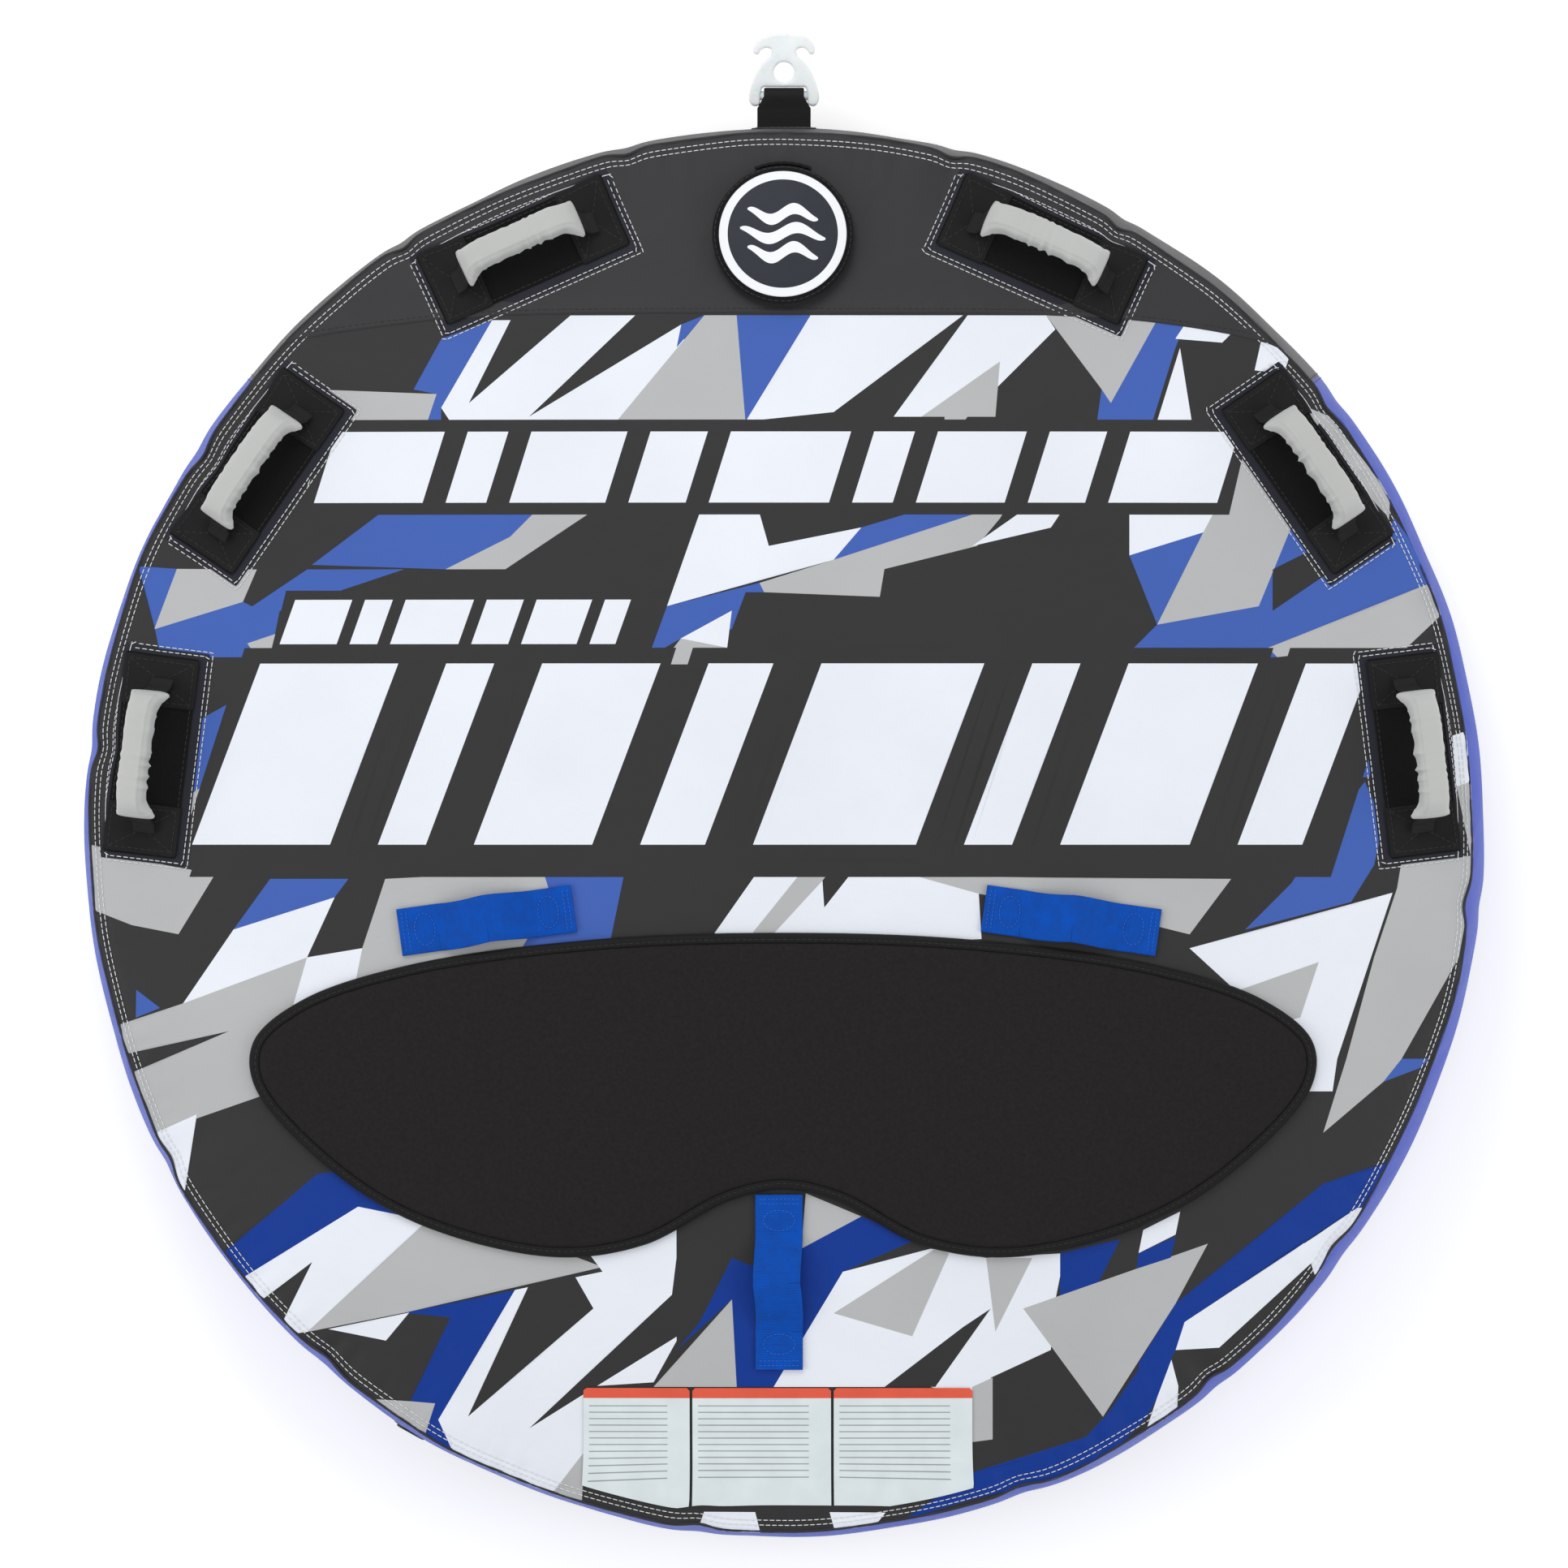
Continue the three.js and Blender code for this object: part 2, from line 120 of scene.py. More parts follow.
class Nodes:
    """Builds one material's node tree"""

    def __init__(self, name):
        self.material = bpy.data.materials.new(name)
        self.material.use_nodes = True
        self.tree = self.material.node_tree
        self.shader = self.tree.nodes["Principled BSDF"]
        self.place = self.add("ShaderNodeTexCoord").outputs["Object"]

    def add(self, kind, inputs=(), **settings):
        node = self.tree.nodes.new(kind)
        for key, value in settings.items():
            setattr(node, key, value)
        for key, value in dict(inputs).items():
            if isinstance(value, bpy.types.NodeSocket):
                self.tree.links.new(value, node.inputs[key])
            else:
                node.inputs[key].default_value = value
        return node

    def noise(self, scale, detail=3.0, place=None):
        inputs = {"Vector": place or self.place, "Scale": scale, "Detail": detail}
        return self.add("ShaderNodeTexNoise", inputs).outputs["Fac"]

    def math(self, operation, first, second=0.0):
        return self.add("ShaderNodeMath", {0: first, 1: second}, operation=operation).outputs[0]

    def span(self, value, low, high):
        """A 0 to 1 value as low to high, with more contrast than the noise itself has"""
        inputs = {"Value": value, "From Min": 0.3, "From Max": 0.7, "To Min": low, "To Max": high}
        return self.add("ShaderNodeMapRange", inputs).outputs[0]

    def around(self):
        """Position along the side band and up it, for cloth that is wrapped round the tube"""
        axes = self.add("ShaderNodeSeparateXYZ", {0: self.place}).outputs
        turn = self.math("ARCTAN2", axes["Y"], axes["X"])
        along = self.math("MULTIPLY", turn, SIDE_RADIUS)
        return self.add("ShaderNodeCombineXYZ", {"X": along, "Y": axes["Z"]}).outputs[0]

    def weave(self, thread, place=None):
        """Height of crossing threads, one thread wide. The wave texture's own length is TAU / 20"""
        waves = []
        for axis in "XY":
            inputs = {"Vector": place or self.place, "Scale": TAU / (20 * thread), "Distortion": 0.4}
            waves.append(self.add("ShaderNodeTexWave", inputs, bands_direction=axis).outputs["Fac"])
        return self.math("MULTIPLY", *waves)

    def bump(self, layers):
        """Each layer is a height, 0 to 1, and the real depth it stands for"""
        normal = None
        for height, depth in layers:
            inputs = {"Height": height, "Distance": depth, "Strength": 1.0}
            if normal:
                inputs["Normal"] = normal
            normal = self.add("ShaderNodeBump", inputs).outputs[0]
        self.tree.links.new(normal, self.shader.inputs["Normal"])

    def paint(self, tint, variation, amount):
        """The tint, darker and lighter with the variation"""
        dark = tuple(c * (1 - amount) for c in tint[:3]) + (1.0,)
        light = tuple(min(1.0, c * (1 + amount)) for c in tint[:3]) + (1.0,)
        mix = self.add("ShaderNodeMix", {0: variation, 6: dark, 7: light}, data_type="RGBA")
        self.tree.links.new(mix.outputs[2], self.shader.inputs["Base Color"])

    def finish(self, roughness, **constants):
        self.tree.links.new(roughness, self.shader.inputs["Roughness"])
        for key, value in constants.items():
            self.shader.inputs[key.replace("_", " ")].default_value = value
        return self.material


def cover_cloth(name, tint, wrapped=False, gloss=0.5, sheen=0.03):
    """Coated woven nylon: fine weave, soft folds and a slight sheen"""
    made = Nodes(name)
    place = made.around() if wrapped else made.place
    cloud = made.noise(5, 4)
    speck = made.noise(900, 2)
    wear = made.math("ADD", made.math("MULTIPLY", cloud, 0.7), made.math("MULTIPLY", speck, 0.3))
    made.paint(tint, made.span(wear, 0, 1), 0.05)
    folds = made.noise(22, 3)
    if wrapped:
        creased = {0: place, 1: (24, 5, 1)}
        upright = made.add("ShaderNodeVectorMath", creased, operation="MULTIPLY").outputs[0]
        folds = made.math("ADD", folds, made.noise(1, 3, upright))
    made.bump([(folds, 1.6 * MM), (made.noise(160, 2), 0.12 * MM), (made.weave(0.6 * MM, place), 0.05 * MM)])
    return made.finish(made.span(cloud, gloss - 0.05, gloss + 0.07), Sheen_Weight=sheen, Sheen_Roughness=0.4,
                       Specular_IOR_Level=0.22)


def neoprene(name, tint):
    """Foam rubber with a napped, mottled face"""
    made = Nodes(name)
    nap = made.noise(1500, 3)
    mottle = made.noise(260, 4)
    made.paint(tint, made.span(made.math("MULTIPLY", made.math("ADD", nap, mottle), 0.5), 0, 1), 0.3)
    made.bump([(made.noise(18, 3), 1.2 * MM), (mottle, 0.25 * MM), (nap, 0.15 * MM)])
    return made.finish(made.span(mottle, 0.85, 0.98), Sheen_Weight=0.05, Specular_IOR_Level=0.08)


def webbing(name, tint, rib=1.3 * MM):
    """Narrow woven tape: fibres and a fine weave over the ribs that the mesh has"""
    made = Nodes(name)
    fibre = made.noise(1200, 3)
    handled = made.noise(70, 3)
    made.paint(tint, made.span(made.math("MULTIPLY", made.math("ADD", fibre, handled), 0.5), 0, 1), 0.25)
    made.bump([(made.weave(rib), 0.12 * MM), (fibre, 0.12 * MM)])
    return made.finish(made.span(handled, 0.62, 0.8), Sheen_Weight=0.02, Sheen_Roughness=0.5,
                       Specular_IOR_Level=0.15)


def thread(name, tint):
    """Bonded sewing thread, with its twist"""
    made = Nodes(name)
    twist = made.noise(2500, 1)
    made.paint(tint, made.span(twist, 0, 1), 0.12)
    made.bump([(twist, 0.1 * MM)])
    return made.finish(made.span(twist, 0.45, 0.65), Sheen_Weight=0.1)


def plastic(name, tint, roughness=0.35, transmission=0.0, subsurface=0.0):
    """Moulded plastic with faint flow marks"""
    made = Nodes(name)
    flow = made.noise(35, 3)
    made.paint(tint, made.span(flow, 0, 1), 0.04)
    made.bump([(made.noise(400, 2), 0.04 * MM), (flow, 0.1 * MM)])
    return made.finish(made.span(flow, roughness - 0.06, roughness + 0.08), Transmission_Weight=transmission,
                       Subsurface_Weight=subsurface, Subsurface_Scale=0.004)


def metal(name, tint):
    """Dark coated metal, worn where it is handled"""
    made = Nodes(name)
    wear = made.noise(140, 4)
    made.paint(tint, made.span(wear, 0, 1), 0.25)
    made.bump([(made.noise(900, 2), 0.03 * MM)])
    return made.finish(made.span(wear, 0.3, 0.5), Metallic=0.8)


PRINT_COLOURS = {
    "charcoal": colour(47, 47, 48),
    "white": colour(230, 234, 243),
    "grey": colour(180, 181, 182),
    "blue": colour(62, 95, 176),
    # A darker copy of the print's blue: painted shade for the rear of the deck, where less light falls
    "deep_blue": colour(0, 52, 143),
}
LOOKS = {
    **{f"print_{key}": cover_cloth(f"print_{key}", tint) for key, tint in PRINT_COLOURS.items()},
    "cover": cover_cloth("cover_charcoal", colour(50, 50, 52)),
    "band_charcoal": cover_cloth("band_charcoal", colour(56, 56, 58), wrapped=True),
    "band_blue": cover_cloth("band_blue", colour(42, 70, 176), wrapped=True),
    "underside": cover_cloth("underside", colour(40, 40, 44), gloss=0.62),
    "bladder": plastic("bladder_pvc", colour(38, 40, 46), 0.4),
    "foam": neoprene("pad_foam", colour(140, 142, 146)),
    "pad": neoprene("pad_neoprene", colour(36, 34, 34)),
    "guard": neoprene("guard_neoprene", colour(22, 22, 23)),
    "backing": cover_cloth("guard_backing", colour(30, 32, 42)),
    "anchor": webbing("anchor_cloth", colour(27, 27, 28), 0.9 * MM),
    "binding": webbing("binding_tape", colour(26, 26, 27)),
    "black_web": webbing("black_webbing", colour(32, 32, 33)),
    "blue_web": webbing("blue_webbing", colour(0, 74, 172)),
    "sleeve": cover_cloth("grip_sleeve", colour(184, 186, 184), gloss=0.6, sheen=0.12),
    "flap": neoprene("flap_cloth", colour(26, 26, 28)),
    "badge_white": cover_cloth("badge_white", colour(236, 238, 242), gloss=0.45),
    "badge_slate": cover_cloth("badge_slate", colour(42, 46, 54), gloss=0.42),
    "label": plastic("label_film", colour(216, 226, 228), 0.45),
    "label_header": plastic("label_header", colour(222, 84, 58), 0.45),
    "label_rule": plastic("label_rule", colour(150, 156, 160), 0.5),
    "thread_white": thread("thread_white", colour(225, 227, 230)),
    "thread_black": thread("thread_black", colour(16, 16, 17)),
    "thread_blue": thread("thread_blue", colour(10, 96, 200)),
    "nylon": plastic("hook_nylon", colour(236, 242, 244), 0.3, subsurface=0.6),
    "valve": plastic("valve_plastic", colour(216, 218, 220), 0.35),
    "slider": metal("zip_slider", colour(90, 92, 96)),
    "teeth": plastic("zip_teeth", colour(30, 30, 32), 0.35),
}


# ---------------------------------------------------------------- surfaces

def unit(vectors):
    """The same directions, one unit long"""
    return vectors / np.linalg.norm(vectors, axis=-1, keepdims=True)


def turn_between(angle, other):
    """The turn from one angle to another, the short way round"""
    return np.angle(np.exp(1j * (angle - other)))


def deck_height(radius):
    """Height of the smooth crown, before gathers and pinches"""
    return UPPER_SEAM + (CROWN - UPPER_SEAM) * (1 - (radius / SEAM_RADIUS) ** CROWN_POWER)


def deck_slope(radius):
    """How steeply the crown falls outwards"""
    drop = (CROWN - UPPER_SEAM) * CROWN_POWER / SEAM_RADIUS
    return math.atan(drop * (radius / SEAM_RADIUS) ** (CROWN_POWER - 1))


def waves(angle, counts):
    """Uneven ripples round the rim, -1 to 1"""
    total = 0
    for i, count in enumerate(counts):
        total = total + np.sin(count * angle + 2.4 * i * i + 0.7)
    return total / len(counts)


def gathers(angle):
    """Fine gathers that come and go along a seam"""
    fine = waves(angle, (93, 131, 167, 211))
    patchy = 0.55 + 0.45 * waves(angle, (5, 9, 14))
    return fine * patchy + 0.5 * waves(angle, (29, 41, 53))


def pinches(angle):
    """Where the sewing has pulled the seam in: 1 at the middle of each pinch, 0 away from them"""
    total = 0 * angle
    for place, width in PINCHES:
        off = turn_between(angle, math.radians(place))
        total = total + np.exp(-(off / math.radians(width)) ** 2)
    return total


def seam_shift(angle):
    """How far the seam runs outside its circle"""
    slow, quick = waves(angle, (5, 8, 13)), waves(angle, (21, 34))
    return 3.2 * MM * slow + 1.0 * MM * quick - 4.5 * MM * pinches(angle)


def seam_drift(angle):
    """The upper seam sits further out than its circle, least of all on the right"""
    return (3 - 3 * np.cos(angle) + 4 * np.sin(angle) ** 2) * MM


def oval(angle):
    """The cover is a little longer than it is wide"""
    return 5 * MM * np.minimum(1, 1.6 * np.sin(angle) ** 2)


def upper_wander(angle):
    """How far the upper seam runs outside its circle"""
    return seam_shift(angle) + seam_drift(angle) + oval(angle)


def lower_wander(angle):
    """How far the lower seam runs outside its circle"""
    return LOWER_PUCKER * seam_shift(angle) + oval(angle)


def deck(x, y):
    """The cover's top: crowned, gathered at the rim seam, and slightly uneven"""
    radius = np.minimum(np.hypot(x, y), SEAM_RADIUS + 4 * MM)
    angle = np.arctan2(y, x)
    inward = SEAM_RADIUS - radius
    hem = np.exp(-(inward / (26 * MM)) ** 2)
    height = deck_height(radius) + 1.9 * MM * hem * gathers(angle)
    height = height - 2.5 * MM * pinches(angle) * np.exp(-inward / (45 * MM))
    height = height + 1.1 * MM * np.sin(9 * x + 2) * np.sin(11 * y + 1) * np.sin(17 * (x + y))
    groove = np.exp(-((inward - 9 * MM) / (5 * MM)) ** 2)
    tuck = np.exp(-np.maximum(inward, 0) / (2 * MM))
    height = height - 0.9 * MM * groove - 2.0 * MM * tuck
    pull = upper_wander(angle) * np.clip(1 - inward / (60 * MM), 0, 1) ** 2
    stretch = 1 + pull / SEAM_RADIUS
    return np.stack([x * stretch, y * stretch, height], axis=-1)


def side(along, height):
    """The side band: along is measured round the tube, from +X towards +Y"""
    angle = along / SIDE_RADIUS
    share = (height - MIDDLE) / HALF_BAND
    radius = SEAM_RADIUS + (SIDE_RADIUS - SEAM_RADIUS) * (1 - share ** 2)
    radius = radius + oval(angle) + seam_drift(angle) * np.maximum(share, 0) ** 2
    near_seam = np.abs(share) ** 3 * (1 - np.abs(share) ** 12)
    pleats = near_seam * waves(angle + 0.03 * share, (47, 73, 101, 139))
    folds = (1 - share ** 2) * waves(angle + 0.12 * share, (11, 19, 31))
    upper_share = LOWER_PUCKER + (1 - LOWER_PUCKER) * share ** 2
    seam = seam_shift(angle) * np.where(share > 0, upper_share, LOWER_PUCKER)
    past_zip = np.abs(turn_between(angle, REAR)) - ZIP_HALF_ANGLE
    calm = np.exp(-(np.maximum(past_zip, 0) / 0.1) ** 2) * np.clip(-2 * share, 0, 1)
    radius = radius + (1 - calm) * (3.0 * MM * pleats + 1.5 * MM * folds + seam)
    return np.stack([radius * np.cos(angle), radius * np.sin(angle), height + 0 * angle], axis=-1)


def on_surface(surface, u, v, lift=0.0):
    """Points above a surface, and the surface's unit normals there"""
    step = 0.1 * MM
    point = surface(u, v)
    normal = unit(np.cross(surface(u + step, v) - point, surface(u, v + step) - point))
    return point + np.reshape(lift, (-1, 1)) * normal, normal


# ---------------------------------------------------------------- outlines

def turned(points, angle):
    """Points turned about the origin"""
    c, s = math.cos(angle), math.sin(angle)
    return np.asarray(points) @ np.array([[c, s], [-s, c]])


def resample(points, step, closed=True):
    """The same line with points an even step apart"""
    line = np.asarray(points, float)
    if closed:
        line = np.vstack([line, line[:1]])
    lengths = np.linalg.norm(np.diff(line, axis=0), axis=1)
    reach = np.concatenate([[0], np.cumsum(lengths)])
    count = max(2, round(reach[-1] / step))
    wanted = np.linspace(0, reach[-1], count + 1)
    if closed:
        wanted = wanted[:-1]
    return np.stack([np.interp(wanted, reach, line[:, k]) for k in range(line.shape[1])], axis=-1)


def rectangle(length, width, corner=3 * MM, step=3 * MM):
    """A rectangle with round corners, centred on the origin, anticlockwise"""
    points = []
    for quarter, (sx, sy) in enumerate([(1, 1), (-1, 1), (-1, -1), (1, -1)]):
        for part in range(5):
            angle = (quarter + part / 4) * TAU / 4
            points.append((sx * (length / 2 - corner) + corner * math.cos(angle),
                           sy * (width / 2 - corner) + corner * math.sin(angle)))
    return resample(points, step)


def shifted(outline, distance):
    """An outline moved outwards, or inwards where the distance is negative"""
    ahead = unit(np.roll(outline, -1, axis=0) - np.roll(outline, 1, axis=0))
    return outline + distance * np.stack([ahead[:, 1], -ahead[:, 0]], axis=-1)


def smooth_loop(points, steps=14):
    """A closed Catmull-Rom curve through the points"""
    points = np.asarray(points, float)
    curve = []
    for i in range(len(points)):
        a, b, c, d = (points[(i + k - 1) % len(points)] for k in range(4))
        first, second = np.linalg.norm(b - a) ** 0.5, np.linalg.norm(c - b) ** 0.5
        third = np.linalg.norm(d - c) ** 0.5
        leave = ((b - a) / first - (c - a) / (first + second) + (c - b) / second) * second
        arrive = ((c - b) / second - (d - b) / (second + third) + (d - c) / third) * second
        for t in np.arange(steps) / steps:
            curve.append((2 * t ** 3 - 3 * t ** 2 + 1) * b + (t ** 3 - 2 * t ** 2 + t) * leave
                         + (3 * t ** 2 - 2 * t ** 3) * c + (t ** 3 - t ** 2) * arrive)
    return np.array(curve)


def inside(outline, points):
    """Which points lie inside a closed outline"""
    x, y = points[:, 0], points[:, 1]
    within = np.zeros(len(points), bool)
    for (ax, ay), (bx, by) in zip(outline, np.roll(outline, -1, axis=0)):
        if ay == by:
            continue
        crosses = (ay > y) != (by > y)
        within ^= crosses & (x < (bx - ax) * (y - ay) / (by - ay) + ax)
    return within


def distance_to(loop, points):
    """How far each point is from a closed line"""
    nearest = np.full(len(points), 1e9)
    for start, end in zip(loop, np.roll(loop, -1, axis=0)):
        leg = end - start
        share = np.clip(((points - start) @ leg) / max(leg @ leg, 1e-12), 0, 1)
        nearest = np.minimum(nearest, np.linalg.norm(points - start - share[:, None] * leg, axis=1))
    return nearest


def hex_grid(outline, spacing):
    """Evenly spaced points over an outline's box"""
    low, high = outline.min(axis=0), outline.max(axis=0)
    rows = np.arange(low[1], high[1], spacing * 0.87)
    columns = np.arange(low[0], high[0], spacing)
    shift = np.tile([[0.0], [spacing / 2]], (len(rows) // 2 + 1, 1))[:len(rows)]
    x = columns[None, :] + shift
    y = np.repeat(rows[:, None], len(columns), axis=1)
    return np.stack([x.ravel(), y.ravel()], axis=-1)


def fill(outline, points, loops=(), clear=1.5 * MM):
    """Triangles over an outline, with the outline and each loop kept as edges.

    They run through the points, except those nearer to an edge than clear
    """
    lines = [np.asarray(outline), *[np.asarray(loop) for loop in loops]]
    inner = points[inside(outline, points)]
    for line in lines:
        inner = inner[distance_to(line, inner) > clear]
    corners = [*inner]
    edges = []
    for line in lines:
        first = len(corners)
        corners.extend(line)
        edges.extend((first + i, first + (i + 1) % len(line)) for i in range(len(line)))
    verts, _, faces = delaunay_2d_cdt([Vector(c) for c in corners], edges, [], 0, 1e-6)[:3]
    verts = np.array([tuple(v) for v in verts])
    faces = np.array([face for face in faces if len(face) == 3])
    faces = faces[inside(outline, verts[faces].mean(axis=1))]
    used, faces = np.unique(faces, return_inverse=True)
    return verts[used], faces.reshape(-1, 3)


# ---------------------------------------------------------------- pieces

def piece(name, verts, faces, looks, body="cover", slot=None, replaces=(), tints=None):
    """A mesh that rides on a body. Tints gives each face the number of its look"""
    mesh = bpy.data.meshes.new(name)
    mesh.from_pydata([tuple(v) for v in verts], [], [tuple(f) for f in faces])
    for look in ([looks] if isinstance(looks, str) else looks):
        mesh.materials.append(LOOKS[look])
    if tints is not None:
        mesh.polygons.foreach_set("material_index", np.asarray(tints, np.int32))
    mesh.shade_smooth()
    mesh.update()
    obj = bpy.data.objects.new(name, mesh)
    bpy.context.scene.collection.objects.link(obj)
    if body:
        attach(obj, body)
    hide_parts(*replaces)
    return obj


def grid_faces(rows, columns, closed=False):
    """Quads over a grid of points, row by row. Closed joins each row's ends"""
    across = columns if closed else columns - 1
    return [(r * columns + c, r * columns + (c + 1) % columns, (r + 1) * columns + (c + 1) % columns,
             (r + 1) * columns + c) for r in range(rows - 1) for c in range(across)]


def closed_tube(rows, columns):
    """Faces of a tube of closed rows, with a face over each end"""
    last = (rows - 1) * columns
    ends = [tuple(reversed(range(columns))), tuple(last + k for k in range(columns))]
    return grid_faces(rows, columns, closed=True) + ends


def flipped(faces):
    """The same faces, turned to face the other way"""
    return [tuple(reversed(face)) for face in faces]


def open_edges(faces):
    """Edges that only one triangle has, in its direction"""
    seen = {}
    for a, b, c in faces:
        for edge in ((a, b), (b, c), (c, a)):
            seen[edge] = True
    return [edge for edge in seen if (edge[1], edge[0]) not in seen]


def both_sides(faces, count):
    """Faces of a sheet, of its copy further on in the vertices, and of the wall between them"""
    under = [(c + count, b + count, a + count) for a, b, c in faces]
    walls = [(b, a, a + count, b + count) for a, b in open_edges(faces)]
    return [*faces.tolist(), *under, *walls]


def slab(name, surface, outline, low, high, look, edge=2 * MM, spacing=6 * MM, relief=None, **facts):
    """A layer sewn onto a surface: its top is between low and high above it, round at the edge"""
    rings = np.vstack([shifted(outline, -edge * share) for share in (0.12, 0.4, 0.8)])
    points = np.vstack([hex_grid(outline, spacing), rings])
    uv, faces = fill(outline, points, clear=0.1 * MM)
    near = np.clip(distance_to(outline, uv) / edge, 0, 1)
    swell = np.sqrt(1 - (1 - near) ** 2)
    top = low + (high - low) * (0.25 + 0.75 * swell)
    if relief is not None:
        top = top + relief(uv, near)
    upper = on_surface(surface, uv[:, 0], uv[:, 1], top)[0]
    lower = on_surface(surface, uv[:, 0], uv[:, 1], low)[0]
    return piece(name, np.vstack([upper, lower]), both_sides(faces, len(uv)), look, **facts)


def tube_shape(length, radius, sides=6, arch=0.35):
    """A short thread lying along X, its ends turned down into the cloth"""
    stations = [(-0.5, 0.35, -1), (-0.38, 0.9, 0), (0, 1, 1), (0.38, 0.9, 0), (0.5, 0.35, -1)]
    verts = []
    for along, thick, lift in stations:
        for k in range(sides):
            angle = TAU * k / sides
            verts.append((along * length, thick * radius * math.cos(angle),
                          thick * radius * math.sin(angle) + arch * radius * lift))
    return np.array(verts), flipped(closed_tube(len(stations), sides))


def copies(shape, origins, alongs, ups):
    """One small shape copied to many places, as a single list of vertices and faces"""
    verts, faces = shape
    alongs = unit(alongs)
    sides = unit(np.cross(ups, alongs))
    lifts = np.cross(alongs, sides)
    placed = (origins[:, None] + verts[None, :, :1] * alongs[:, None] + verts[None, :, 1:2] * sides[:, None]
              + verts[None, :, 2:] * lifts[:, None])
    shift = np.arange(len(origins)) * len(verts)
    many = [tuple(i + s for i in face) for s in shift.tolist() for face in faces]
    return placed.reshape(-1, 3), many


def stitches(name, surface, lines, look, lift=0.0, length=5.4 * MM, pitch=6.8 * MM, radius=0.5 * MM,
             **facts):
    """Rows of stitches along lines drawn on a surface. Each line is (points, closed)"""
    shape = tube_shape(length, radius)
    verts, faces, total = [], [], 0
    for points, closed in lines:
        spots = resample(points, pitch / 2, closed)
        middles, ends = spots[::2], np.roll(spots, -1, axis=0)[::2]
        if not closed:
            middles, ends = spots[1:-1:2], spots[2::2]
        count = min(len(middles), len(ends))
        at, up = on_surface(surface, middles[:count, 0], middles[:count, 1], lift + 0.2 * radius)
        to = on_surface(surface, ends[:count, 0], ends[:count, 1], lift + 0.2 * radius)[0]
        placed, more = copies(shape, at, to - at, up)
        verts.append(placed)
        faces.extend(tuple(i + total for i in face) for face in more)
        total += len(placed)
    return piece(name, np.vstack(verts), faces, look, **facts)


def circle(radius, count, start=0.0, end=TAU):
    """Points round a circle or an arc, without the end point"""
    angles = start + (end - start) * np.arange(count) / count
    return radius * np.stack([np.cos(angles), np.sin(angles)], axis=-1)


def lathe(name, profile, place, look, steps=64, **facts):
    """A profile of (radius, height) turned about a placed Z axis"""
    angles = TAU * np.arange(steps) / steps
    verts = [place @ Vector((r * math.cos(a), r * math.sin(a), z)) for r, z in profile for a in angles]
    return piece(name, verts, flipped(grid_faces(len(profile), steps, closed=True)), look, **facts)


def front_seam(x):
    """The seam between the front panel and the deck"""
    return FRONT_SEAM_Y - FRONT_SEAM_DROP * (np.abs(x) / FRONT_SEAM_REACH) ** 5


# ---------------------------------------------------------------- the printed deck

